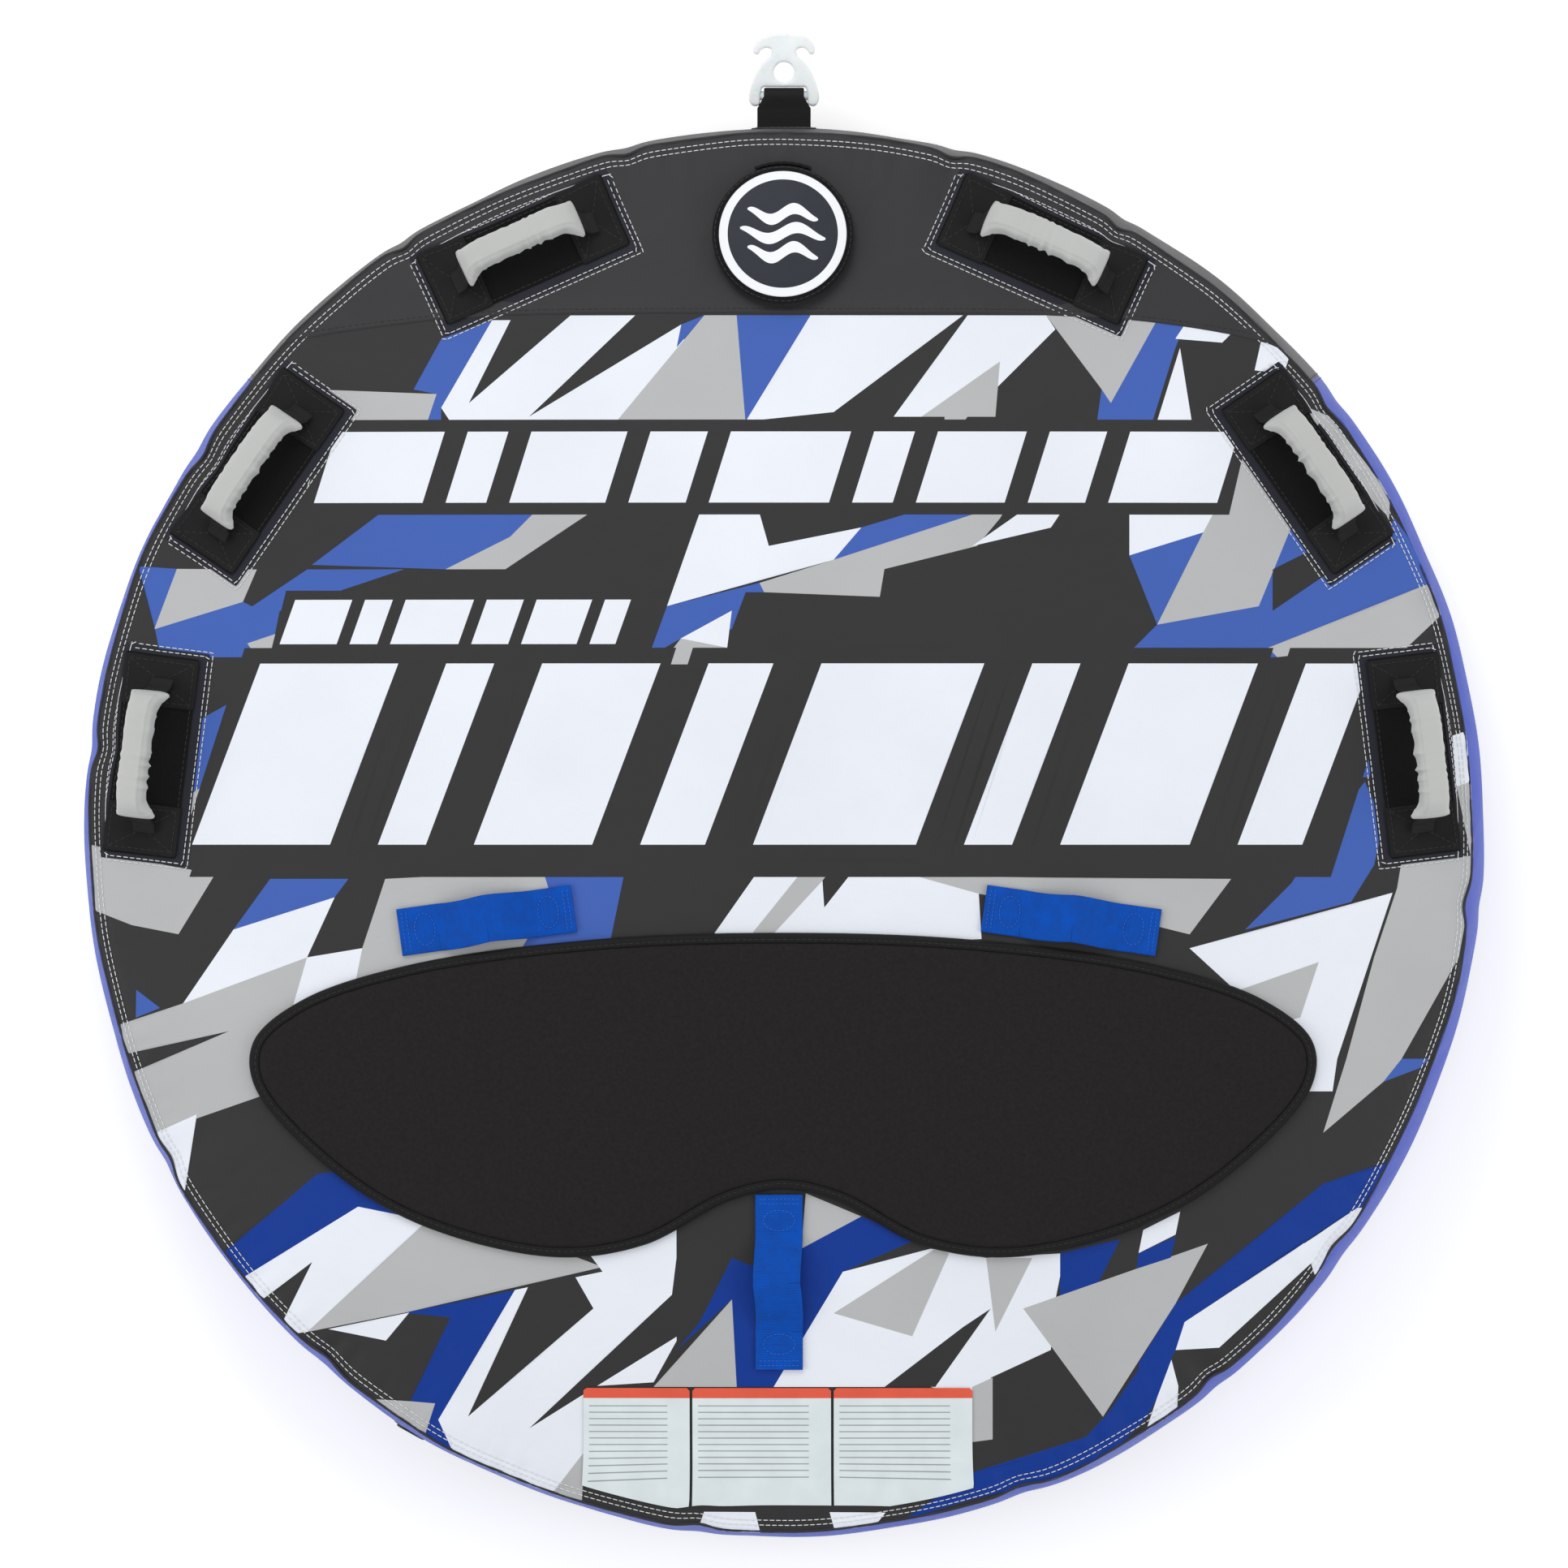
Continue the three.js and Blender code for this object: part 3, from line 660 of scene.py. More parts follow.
# Plain angular shards over a charcoal ground, in millimetres. Later shards cover earlier ones
SHARDS = [
    ("white", [(-315, 555), (-295, 555), (-340, 465), (-230, 560), (-160, 560), (-275, 450), (-110, 550),
              (-105, 525), (-178, 445), (-335, 445), (-340, 415), (-370, 460)]),
    ("blue", [(-110, 550), (-85, 560), (-115, 525)]),
    ("grey", [(-85, 560), (-50, 560), (-40, 445), (-130, 440), (-180, 445)]),
    ("blue", [(-50, 560), (30, 560), (-40, 440)]),
    ("white", [(30, 560), (195, 560), (55, 455), (-40, 445)]),
    ("white", [(200, 560), (285, 560), (295, 545), (230, 480), (235, 510), (150, 450), (120, 450)]),
    ("grey", [(235, 510), (230, 450), (200, 450), (175, 420), (175, 450), (150, 450)]),
    ("grey", [(285, 560), (405, 555), (355, 465), (345, 480), (300, 540)]),
    ("blue", [(405, 555), (435, 550), (425, 525), (400, 445), (340, 445), (345, 480), (355, 465)]),
    ("white", [(435, 550), (485, 540), (475, 530), (425, 535)]),
    ("white", [(430, 525), (445, 430), (405, 445)]),
    ("white", [(515, 530), (545, 515), (540, 495), (510, 500)]),
    ("grey", [(565, 460), (590, 450), (655, 365), (655, 340), (600, 400)]),
    ("blue", [(-370, 535), (-315, 555), (-370, 460), (-370, 445), (-385, 445), (-375, 475), (-400, 480)]),
    ("grey", [(-505, 480), (-375, 475), (-385, 445), (-440, 445), (-500, 370), (-515, 375)]),
    # right
    ("white", [(490, 430), (500, 410), (455, 325), (375, 300), (375, 345)]),
    ("grey", [(500, 410), (550, 330), (515, 245), (405, 225), (455, 325)]),
    ("blue", [(375, 300), (455, 325), (405, 225)]),
    ("blue", [(405, 225), (515, 245), (550, 330), (570, 305), (530, 285), (530, 240), (655, 325),
              (660, 340), (675, 320), (700, 270), (525, 200), (535, 190), (365, 185)]),
    ("grey", [(525, 200), (700, 270), (710, 235), (675, 200), (625, 200), (535, 190)]),
    ("grey", [(620, 175), (605, 115), (640, 85), (625, 185)]),
    ("blue", [(605, 115), (640, 85), (635, 60), (610, 60), (585, 65)]),
    ("blue", [(630, 55), (650, 10), (640, -35), (615, -75), (500, -105), (550, -55), (590, 5)]),
    ("white", [(440, -125), (660, -65), (600, -245), (595, -280), (570, -280), (500, -180)]),
    ("grey", [(480, -175), (580, -140), (560, -200), (500, -215)]),
    ("grey", [(670, -30), (745, -25), (745, -80), (730, -135), (670, -245), (610, -245), (640, -135),
              (665, -60)]),
    ("white", [(725, 105), (740, 110), (745, 55), (730, 50)]),
    ("grey", [(730, 50), (745, 55), (760, -10), (745, -30)]),
    ("grey", [(148, -48), (241, -48), (485, -50), (440, -110), (380, -95), (212, -66)]),
    ("white", [(-78, -115), (-31, -48), (16, -48), (-38, -115)]),
    ("grey", [(16, -48), (46, -48), (43, -52), (-15, -115), (-38, -115)]),
    ("white", [(-15, -115), (43, -52), (45, -81), (71, -48), (148, -48), (212, -66), (215, -115),
              (100, -120)]),
    # left
    ("blue", [(-415, 355), (-380, 355), (-270, 345), (-295, 320), (-365, 285), (-510, 290), (-430, 350)]),
    ("grey", [(-270, 345), (-210, 345), (-300, 285), (-365, 285), (-295, 320)]),
    ("grey", [(-655, 285), (-570, 285), (-585, 250), (-680, 220)]),
    ("blue", [(-690, 285), (-655, 285), (-680, 220), (-585, 250), (-575, 245), (-515, 285), (-410, 285),
              (-545, 240), (-550, 215), (-570, 190), (-625, 190), (-675, 195)]),
    ("grey", [(-580, 205), (-550, 215), (-415, 210), (-435, 200), (-570, 190)]),
    ("blue", [(-600, 140), (-645, 115), (-660, 30), (-605, 65), (-610, 95)]),
    ("grey", [(-605, 65), (-600, 45), (-640, 20), (-660, 15), (-660, 30)]),
    ("grey", [(-755, -10), (-670, -35), (-615, -45), (-655, -110), (-705, -100), (-750, -80)]),
    ("blue", [(-555, -50), (-470, -50), (-485, -70), (-595, -105)]),
    ("white", [(-485, -70), (-515, -135), (-650, -185), (-595, -105)]),
    ("grey", [(-430, -50), (-390, -48), (-257, -48), (-250, -70), (-285, -130), (-340, -165),
              (-465, -175), (-455, -125)]),
    ("blue", [(-257, -48), (-172, -48), (-188, -125), (-283, -127), (-250, -70)]),
    ("white", [(-455, -125), (-465, -175), (-534, -200), (-515, -135)]),
    ("grey", [(-515, -135), (-534, -200), (-540, -225), (-545, -255), (-550, -280), (-680, -325),
              (-705, -260), (-600, -215), (-715, -240), (-725, -210), (-650, -185)]),
    ("blue", [(-700, -170), (-675, -190), (-700, -200)]),
    ("white", [(-680, -325), (-635, -305), (-640, -395), (-665, -355)]),
    # middle
    ("white", [(-90, 345), (-25, 345), (-15, 310), (85, 330), (55, 295), (-125, 245)]),
    ("blue", [(85, 330), (135, 345), (205, 345), (245, 357), (55, 295)]),
    ("grey", [(245, 357), (235, 340), (210, 310), (110, 285), (105, 255), (-20, 260), (-25, 270),
              (55, 295)]),
    ("white", [(300, 345), (290, 330), (205, 310), (255, 345)]),
    ("blue", [(-125, 245), (-25, 270), (-20, 260), (-40, 260), (-55, 220), (-110, 210), (-145, 190)]),
    ("white", [(-55, 240), (-60, 200), (-110, 210)]),
    ("grey", [(-110, 210), (-60, 200), (-85, 165), (-145, 165)]),
    # lower left
    ("blue", [(-505, -370), (-475, -365), (-385, -420), (-460, -405), (-585, -480), (-600, -450),
              (-540, -400)]),
    ("white", [(-460, -405), (-385, -420), (-510, -535), (-540, -535), (-510, -465), (-565, -505),
              (-585, -480)]),
    ("grey", [(-385, -420), (-235, -455), (-195, -470), (-410, -520), (-510, -535)]),
    ("blue", [(-410, -520), (-290, -495), (-370, -630), (-345, -670), (-385, -655), (-400, -610),
              (-360, -525)]),
    ("white", [(-290, -495), (-195, -475), (-210, -455), (-115, -420), (-115, -550), (-140, -595),
              (-215, -600), (-215, -685), (-255, -715), (-345, -670), (-370, -630)]),
    ("charcoal", [(-275, -490), (-225, -480), (-205, -515), (-340, -630)]),
    ("charcoal", [(-110, -420), (-30, -390), (-35, -440), (-90, -530), (-275, -645), (-120, -500)]),
    ("white", [(-490, -535), (-405, -520), (-430, -550)]),
    ("grey", [(-465, -600), (-375, -615), (-385, -655)]),
    # lower middle and right
    ("blue", [(-55, -460), (-30, -470), (-30, -600), (-50, -600), (-55, -505), (-115, -560),
              (-90, -530)]),
    ("grey", [(-55, -505), (-50, -600), (-140, -600)]),
    ("blue", [(20, -450), (85, -415), (145, -440), (65, -475), (20, -550), (-5, -600), (-50, -600)]),
    ("grey", [(25, -390), (85, -415), (20, -450)]),
    ("white", [(65, -475), (160, -450), (220, -460), (305, -455), (295, -505), (290, -560), (225, -590),
              (225, -620), (160, -600), (-10, -600), (20, -550)]),
    ("grey", [(165, -450), (180, -455), (140, -545), (55, -520)]),
    ("grey", [(220, -460), (270, -460), (230, -540)]),
    ("charcoal", [(225, -515), (165, -600), (110, -600), (195, -535)]),
    ("blue", [(300, -455), (365, -440), (340, -490), (300, -505)]),
    ("grey", [(260, -515), (460, -445), (425, -510), (345, -630)]),
    ("white", [(390, -430), (430, -410), (425, -435), (385, -455)]),
    ("blue", [(385, -455), (425, -437), (420, -460), (383, -472)]),
    ("grey", [(227, -590), (227, -657), (205, -660), (205, -600)]),
    ("blue", [(205, -690), (325, -650), (350, -627), (420, -535), (420, -580), (390, -627), (335, -675),
              (200, -715), (80, -750), (125, -738)]),
    ("white", [(-85, -730), (-30, -730), (-20, -760), (-95, -755)]),
    ("white", [(50, -730), (110, -730), (95, -745), (60, -760)]),
    ("grey", [(-255, -715), (-215, -670), (-215, -725)]),
    ("grey", [(610, -245), (670, -245), (650, -270), (585, -325)]),
    ("blue", [(670, -245), (700, -245), (690, -255), (650, -270)]),
    ("blue", [(660, -355), (635, -405), (620, -405), (435, -530), (425, -560), (385, -630), (385, -575),
              (425, -510), (585, -380)]),
    ("white", [(620, -405), (640, -405), (575, -485), (570, -465), (470, -555), (425, -560),
              (435, -530)]),
    ("white", [(420, -570), (425, -595), (420, -625), (385, -645)]),
]


def slanted(left, right, low, high, slant):
    """A bar that leans to the right"""
    return [(left, low), (right, low), (right + slant, high), (left + slant, high)]


def bars(left, widths, gap, low, high, slant, border, shadow=(0, 0)):
    """Plain leaning bars in a row, white on a charcoal border and shadow"""
    row = []
    for width in widths:
        row.append(slanted(left, left + width, low, high, slant))
        left += width + gap
    ground = []
    for bar in row:
        (x0, y0), (x1, _), (x2, y2), (x3, _) = bar
        dark = [(x0 - border, y0 - border), (x1 + border, y0 - border), (x2 + border, y2 + border),
                (x3 - border, y2 + border)]
        ground.append(("charcoal", dark))
        if any(shadow):
            ground.append(("charcoal", [(x + shadow[0], y + shadow[1]) for x, y in dark]))
    return ground + [("white", bar) for bar in row]


def print_shapes():
    """Everything printed on the deck, in the order it is laid down, with the rear's blue shards in a darker
    blue as painted shade
    """
    # Blue shards behind this line take the darker blue: painted shade, not a different dye
    painted_shade_behind = -300
    shapes = []
    for look, points in SHARDS:
        in_painted_shade = look == "blue" and np.mean(points, axis=0)[1] < painted_shade_behind
        shapes.append(("deep_blue" if in_painted_shade else look, points))
    shapes += bars(left=-508, widths=(118, 44, 104, 62, 130, 44, 96, 62, 118), gap=25, low=357, high=434,
                   slant=24, border=13)
    shapes += bars(left=-545, widths=(62, 30, 74, 40, 60, 28), gap=14, low=204, high=252, slant=17,
                   border=10)
    shapes += bars(left=-640, widths=(150, 52, 128, 70, 176, 52, 140, 70), gap=52, low=-13, high=183,
                   slant=74, border=17, shadow=(14, -18))
    return [(look, np.array(points, float) * MM) for look, points in shapes]


def rings(radii, step):
    """Points on circles, an even step apart"""
    return np.vstack([circle(r, max(6, round(TAU * r / step)), start=0.37 * k) for k, r in enumerate(radii)])


def printed(name, surface, outline, points, ground, shapes, lift, keep=None, clear=1.2 * MM, **facts):
    """A sheet on a surface, each face tinted by the last shape that it lies in.

    Keep takes the faces' middles and says which to keep
    """
    looks = [ground, *sorted({look for look, _ in shapes} - {ground})]
    uv, faces = fill(outline, points, [shape for _, shape in shapes], clear)
    middles = uv[faces].mean(axis=1)
    if keep is not None:
        kept = keep(middles)
        faces, middles = faces[kept], middles[kept]
    tints = np.zeros(len(faces), np.int32)
    for look, shape in shapes:
        tints[inside(shape, middles)] = looks.index(look)
    verts, normals = on_surface(surface, uv[:, 0], uv[:, 1], lift)
    obj = piece(name, verts, faces.tolist(), looks, tints=tints, **facts)
    obj.data.normals_split_custom_set_from_vertices([tuple(normal) for normal in normals])
    return obj


def top_grid():
    """The points that the top's cloth is made through, closer together near the rim"""
    spacing = 9 * MM
    near_rim = SEAM_RADIUS - np.array([1.0, 3.5, 6.5, 9.5, 13, 17, 22, 28, 35]) * MM
    middle = rings(np.arange(spacing, SEAM_RADIUS - 40 * MM, spacing), spacing)
    return np.vstack([middle, rings(near_rim, 5 * MM)])


def front_seam_line():
    """The line of the front seam, from rim to rim"""
    x = np.linspace(-SEAM_RADIUS, SEAM_RADIUS, 260)
    seam = np.stack([x, front_seam(x)], axis=-1)
    return seam[np.hypot(seam[:, 0], seam[:, 1]) < TOP_EDGE]


def add_deck(points):
    """The printed part of the top, which reaches a little way under the front panel"""
    shapes = [(f"print_{look}", shape) for look, shape in print_shapes()]
    printed("deck_print", deck, circle(TOP_EDGE, 900), points, "print_charcoal", shapes, 0.0,
            keep=lambda at: at[:, 1] < front_seam(at[:, 0]) + 12 * MM, slot="cover_print",
            replaces=["deck_panel"])


def add_front_panel(points):
    """The plain front of the top, folded under along its seam with the deck"""
    seam = front_seam_line()
    start, end = np.arctan2(seam[-1, 1], seam[-1, 0]), np.arctan2(seam[0, 1], seam[0, 0])
    arc = circle(TOP_EDGE, 320, start, end)
    front = resample(np.vstack([seam, arc[1:]]), 5 * MM)
    valve_hole = circle(31 * MM, 64) + [0, VALVE_Y]
    inner = [shifted(front, -inset) for inset in (1.2 * MM, 3 * MM)]
    uv, faces = fill(front, np.vstack([points, *inner]), [valve_hole], 0.3 * MM)
    faces = faces[~inside(valve_hole, uv[faces].mean(axis=1))]
    past = uv[:, 1] - front_seam(uv[:, 0])
    hem = np.clip(past / (1.5 * MM), 0, 1)
    fold = np.sqrt(1 - (1 - hem) ** 2) * np.exp(-(np.maximum(past, 0) / (11 * MM)) ** 4)
    dent = np.exp(-((past - 5 * MM) / (1.8 * MM)) ** 2)
    lift = 0.25 * MM + 1.3 * MM * fold - 0.6 * MM * dent
    verts = on_surface(deck, uv[:, 0], uv[:, 1], lift)[0]
    piece("front_cloth", verts, faces.tolist(), "cover", slot="cover_charcoal", replaces=["front_panel"])


def add_top_stitching():
    """Two rows round the rim, and one along the front seam"""
    rows = [(circle(SEAM_RADIUS - inset, 1400), True) for inset in (5 * MM, 9 * MM)]
    stitches("rim_stitching", deck, rows, "thread_white", lift=0.6 * MM, slot="cover_charcoal")
    row = front_seam_line()[4:-4] + [0, 5 * MM]
    stitches("front_seam_stitching", deck, [(row, False)], "thread_black", lift=1.0 * MM,
             slot="cover_charcoal")


def wall(name, start, end, look, **facts):
    """A stretch of the side band between two angles"""
    along = np.arange(start * SIDE_RADIUS, end * SIDE_RADIUS, 4 * MM)
    along = np.append(along, end * SIDE_RADIUS)
    share = np.sin(np.linspace(-1, 1, 26) * math.pi / 2)
    heights = MIDDLE + (HALF_BAND - 0.3 * MM) * share
    a, h = np.meshgrid(along, heights)
    verts = side(a.ravel(), h.ravel())
    return piece(name, verts, grid_faces(len(heights), len(along)), look, **facts)


def welt(name, inset, lift, radius, surface_height, wander, look, **facts):
    """A rolled hem round the tube. Wander says how far it runs outside its circle at each angle"""
    steps, sides = 1100, 9
    angles = np.arange(steps) * TAU / steps
    rows = []
    for k in range(sides):
        turn = TAU * k / sides
        roll = radius * (1 + 0.18 * gathers(3 * angles))
        r = SEAM_RADIUS + wander(angles) - inset + roll * math.cos(turn)
        z = surface_height + lift + roll * math.sin(turn) + 0.8 * MM * gathers(angles)
        rows.append(np.stack([r * np.cos(angles), r * np.sin(angles), z], axis=-1))
    rows.append(rows[0])
    return piece(name, np.vstack(rows), grid_faces(sides + 1, steps, closed=True), look, **facts)


def add_sides():
    """The side band's two colours, the rolled hems over and under it, and its stitches"""
    front, back = FRONT - FRONT_BAND, FRONT + FRONT_BAND
    wall("front_band_cloth", front, back, "band_charcoal", slot="cover_charcoal",
         replaces=["side_band_front"])
    wall("rear_band_cloth", back, front + TAU, "band_blue", slot="band_royal", replaces=["side_band_rear"])
    welt("upper_hem", 0.2 * MM, -2.4 * MM, 1.7 * MM, UPPER_SEAM, upper_wander, "cover",
         slot="cover_charcoal")
    welt("lower_hem", 0.0, 0.6 * MM, 2.2 * MM, LOWER_SEAM, lower_wander, "cover", slot="cover_charcoal")
    low, high = LOWER_SEAM + 4 * MM, UPPER_SEAM - 4 * MM
    for end, tag in ((front, "right"), (back, "left")):
        joint = end * SIDE_RADIUS
        rows = [([(joint + shift, low), (joint + shift, high)], False) for shift in (-3 * MM, 3 * MM)]
        stitches(f"band_joint_stitching_{tag}", side, rows, "thread_black", lift=0.1 * MM,
                 slot="cover_charcoal")
    along = np.linspace(0, TAU * SIDE_RADIUS, 1200)[:-1]
    row = np.stack([along, np.full(len(along), LOWER_SEAM + 7 * MM)], axis=-1)
    stitches("lower_seam_stitching", side, [(row, False)], "thread_black", lift=0.1 * MM,
             slot="cover_charcoal")


def add_bottom():
    """The underside: flat and a little uneven where it rests, then curving up to the lower seam"""
    flat = np.linspace(4 * MM, REST_RADIUS, 40)
    curved = np.linspace(REST_RADIUS, SEAM_RADIUS, 34)[1:]
    radii = np.concatenate([flat, curved])
    count = 480
    angles = np.arange(count) * TAU / count
    uneven = 1.2 * MM
    verts = [(0.0, 0.0, uneven)]
    for radius in radii:
        past = max(0.0, radius - REST_RADIUS) / (SEAM_RADIUS - REST_RADIUS)
        x, y = radius * np.cos(angles), radius * np.sin(angles)
        lift = LOWER_SEAM * past ** 2 + 3.2 * MM * past ** 3 * (1 + 0.8 * gathers(angles))
        lift = lift + uneven * (1 - past) * (1 + np.sin(13 * x) * np.sin(15 * y))
        outer = (radius / SEAM_RADIUS) ** 6 * (1 - past ** 6)
        lift = lift + 2.2 * MM * outer * (1 + waves(angles, (31, 47, 71)))
        shift = 1 + past ** 4 * lower_wander(angles) / SEAM_RADIUS
        verts.extend(np.stack([shift * x, shift * y, lift], axis=-1))
    ring = grid_faces(len(radii), count, closed=True)
    faces = flipped([tuple(i + 1 for i in face) for face in ring])
    faces += [(0, 1 + (k + 1) % count, 1 + k) for k in range(count)]
    piece("bottom_cloth", verts, faces, "underside", slot="underside", replaces=["bottom_panel"])


def add_bladder():
    """The air bladder, just inside the cover"""
    inset = 5.2 * MM
    floor = [(0.0, inset), (REST_RADIUS, inset), (650 * MM, 11 * MM + inset),
             (SEAM_RADIUS - 12 * MM, 34.8 * MM + inset)]
    shares = np.linspace(-0.7, 0.7, 9)
    band = [(SEAM_RADIUS + (SIDE_RADIUS - SEAM_RADIUS) * (1 - s * s) - inset, MIDDLE + HALF_BAND * s)
            for s in shares]
    top = [(r, float(deck_height(r)) - inset - 2 * FABRIC)
           for r in np.linspace(SEAM_RADIUS - 14 * MM, 0, 24)]
    lathe("bladder_skin", [*floor, *band, *top], Matrix.Identity(4), "bladder", slot="bladder_pvc",
          replaces=["air_bladder"])


# ---------------------------------------------------------------- padded pieces

SETTLE_FRAMES = 20


def inflate(obj, voxel, cap, pressure=4.0):
    """Puffs a closed piece up with a cloth simulation, and leaves it a plain mesh"""
    scene = bpy.context.scene
    remesh = obj.modifiers.new("skin", "REMESH")
    remesh.mode = "VOXEL"
    remesh.voxel_size = voxel
    bake_modifiers(obj)
    start = coordinates(obj.data)
    cloth = obj.modifiers.new("puff", "CLOTH")
    cloth.settings.use_pressure = True
    cloth.settings.uniform_pressure_force = pressure
    cloth.settings.effector_weights.gravity = 0
    cloth.settings.quality = 5
    for number in range(1, SETTLE_FRAMES + 1):
        scene.frame_set(number)
    graph = bpy.context.evaluated_depsgraph_get()
    puffed = coordinates(obj.evaluated_get(graph).data)
    obj.modifiers.remove(cloth)
    move = puffed - start
    size = np.linalg.norm(move, axis=1, keepdims=True)
    move = move * np.minimum(1, cap / np.maximum(size, 1e-9))
    obj.data.vertices.foreach_set("co", (start + move).ravel())
    scene.frame_set(1)
    smooth = obj.modifiers.new("smooth", "SUBSURF")
    smooth.levels = 1
    bake_modifiers(obj)
    obj.data.shade_smooth()
    return obj


def coordinates(mesh):
    """A mesh's points as rows of x, y and z"""
    flat = np.zeros(len(mesh.vertices) * 3)
    mesh.vertices.foreach_get("co", flat)
    return flat.reshape(-1, 3)


def bake_modifiers(obj):
    """Makes what the modifiers show the object's own mesh"""
    graph = bpy.context.evaluated_depsgraph_get()
    looks = list(obj.data.materials)
    mesh = bpy.data.meshes.new_from_object(obj.evaluated_get(graph))
    obj.modifiers.clear()
    obj.data = mesh
    mesh.materials.clear()
    for look in looks:
        mesh.materials.append(look)


def pad_outline():
    """The pad's edge: long and pointed at the sides, with a bay in the rear for the boarding strap"""
    right = [(0, -109), (200, -116), (400, -143), (520, -182), (572, -226), (572, -272), (500, -355),
             (400, -420), (250, -458), (150, -445), (60, -398), (0, -385)]
    left = [(-x, y) for x, y in reversed(right[1:-1])]
    loop = smooth_loop(np.array(right + left, float) * MM)
    return resample(loop[::-1], 4 * MM)


def strip_round(name, surface, outline, profile, look, **facts):
    """A strip that follows an outline: its profile gives (inset, height above the surface)"""
    angle = np.arange(len(outline)) * TAU / len(outline)
    ripple = 1 + 0.05 * waves(angle, (131, 173, 211)) + 0.05 * waves(angle, (53, 67))
    rows = []
    for inset, height in profile:
        ring = shifted(outline, -inset)
        rows.append(on_surface(surface, ring[:, 0], ring[:, 1], height * ripple)[0])
    faces = flipped(grid_faces(len(profile), len(outline), closed=True))
    return piece(name, np.vstack(rows), faces, look, **facts)


def add_pad():
    """The pad that the riders lie on: neoprene over foam, with a bound and stitched edge"""
    outline = pad_outline()
    inner = shifted(outline, -BINDING)

    def relief(uv, near):
        x, y = uv[:, 0], uv[:, 1]
        slow = np.sin(7 * x + 1) * np.sin(9 * y) + 0.5 * np.sin(19 * x) * np.sin(23 * y + 2)
        return near * 0.5 * MM * slow

    skin = slab("pad_skin", deck, inner, 0.5 * MM, PAD_TOP, "pad", edge=7 * MM, spacing=9 * MM,
                relief=relief, slot="neoprene", replaces=["body_pad"])
    foam = slab("pad_foam_sheet", deck, shifted(inner, -3 * MM), 0.4 * MM, 3 * MM, "foam", spacing=24 * MM,
                slot="foam", replaces=["pad_foam"])
    sewn = 6.2 * MM
    profile = [(-0.6 * MM, 0.1 * MM), (-0.9 * MM, 3 * MM), (0.2 * MM, 6.2 * MM), (2.2 * MM, 8.2 * MM),
               (4.5 * MM, 8.4 * MM), (sewn, 7.7 * MM), (7.6 * MM, 8.3 * MM), (BINDING + 0.5 * MM, 8 * MM),
               (BINDING + 1.1 * MM, 6.2 * MM)]
    strip_round("pad_binding_tape", deck, resample(outline, 2 * MM), profile, "binding",
                slot="webbing_black", replaces=["pad_binding"])
    row = resample(shifted(outline, -sewn), 3 * MM)
    stitches("pad_stitching", deck, [(row, True)], "thread_black", lift=7.9 * MM, slot="webbing_black")


# ---------------------------------------------------------------- handles

def tangent_frame(x, y, turn=0.0):
    """A frame on the deck at a point: X turned from the world's by an angle, Z along the deck's normal"""
    radius = math.hypot(x, y)
    slope = deck_slope(radius)
    outward = Vector((x, y, 0)).normalized()
    up = outward * math.sin(slope) + Vector((0, 0, math.cos(slope)))
    along = Vector((math.cos(turn), math.sin(turn), 0))
    along = (along - up * along.dot(up)).normalized()
    across = up.cross(along)
    place = Matrix((along, across, up)).transposed().to_4x4()
    place.translation = (x, y, float(deck_height(radius)))
    return place


def rim_frame(angle, radius):
    """The deck's frame at an angle from the front: X along the rim, Y outwards"""
    return tangent_frame(radius * math.sin(angle), radius * math.cos(angle), -angle)


def on_rim(points, angle, radius):
    """An outline moved to the rim: x along it, y outwards"""
    return turned(np.asarray(points) + [0, radius], -angle)


def box_and_cross(length, width):
    """The lines of a box-X sewing pattern"""
    x, y = length / 2, width / 2
    corners = [(-x, -y), (x, -y), (x, y), (-x, y)]
    return [(np.array(corners), True), (np.array([corners[0], corners[2]]), False),
            (np.array([corners[1], corners[3]]), False)]


def handle_height(x):
    """Height of the handle's centreline over the deck"""
    share = np.clip(np.abs(x) / HANDLE_HALF, 0, 1)
    return HANDLE_FOOT + (HANDLE_RISE - HANDLE_FOOT) * (1 - share ** 6)


def lean_frame(angle):
    """The handle lies over towards the rim, turned about the line through its two feet"""
    foot = Matrix.Translation((0, 0, HANDLE_FOOT))
    return rim_frame(angle, HANDLE_RADIUS) @ foot @ Matrix.Rotation(-HANDLE_LEAN, 4, "X") @ foot.inverted()


def path_normals(x, z):
    """Unit normals of a line in the X-Z plane"""
    along = unit(np.stack([np.gradient(x), 0 * x, np.gradient(z)], axis=-1))
    return np.stack([-along[:, 2], 0 * x, along[:, 0]], axis=-1)


def aimed(vectors, place):
    """Directions taken from a frame's own axes to the scene's"""
    return vectors @ np.array(place.to_3x3()).T


def in_scene(points, place):
    """Points taken from a frame's own axes to the scene's"""
    return aimed(points, place) + np.array(place.translation)


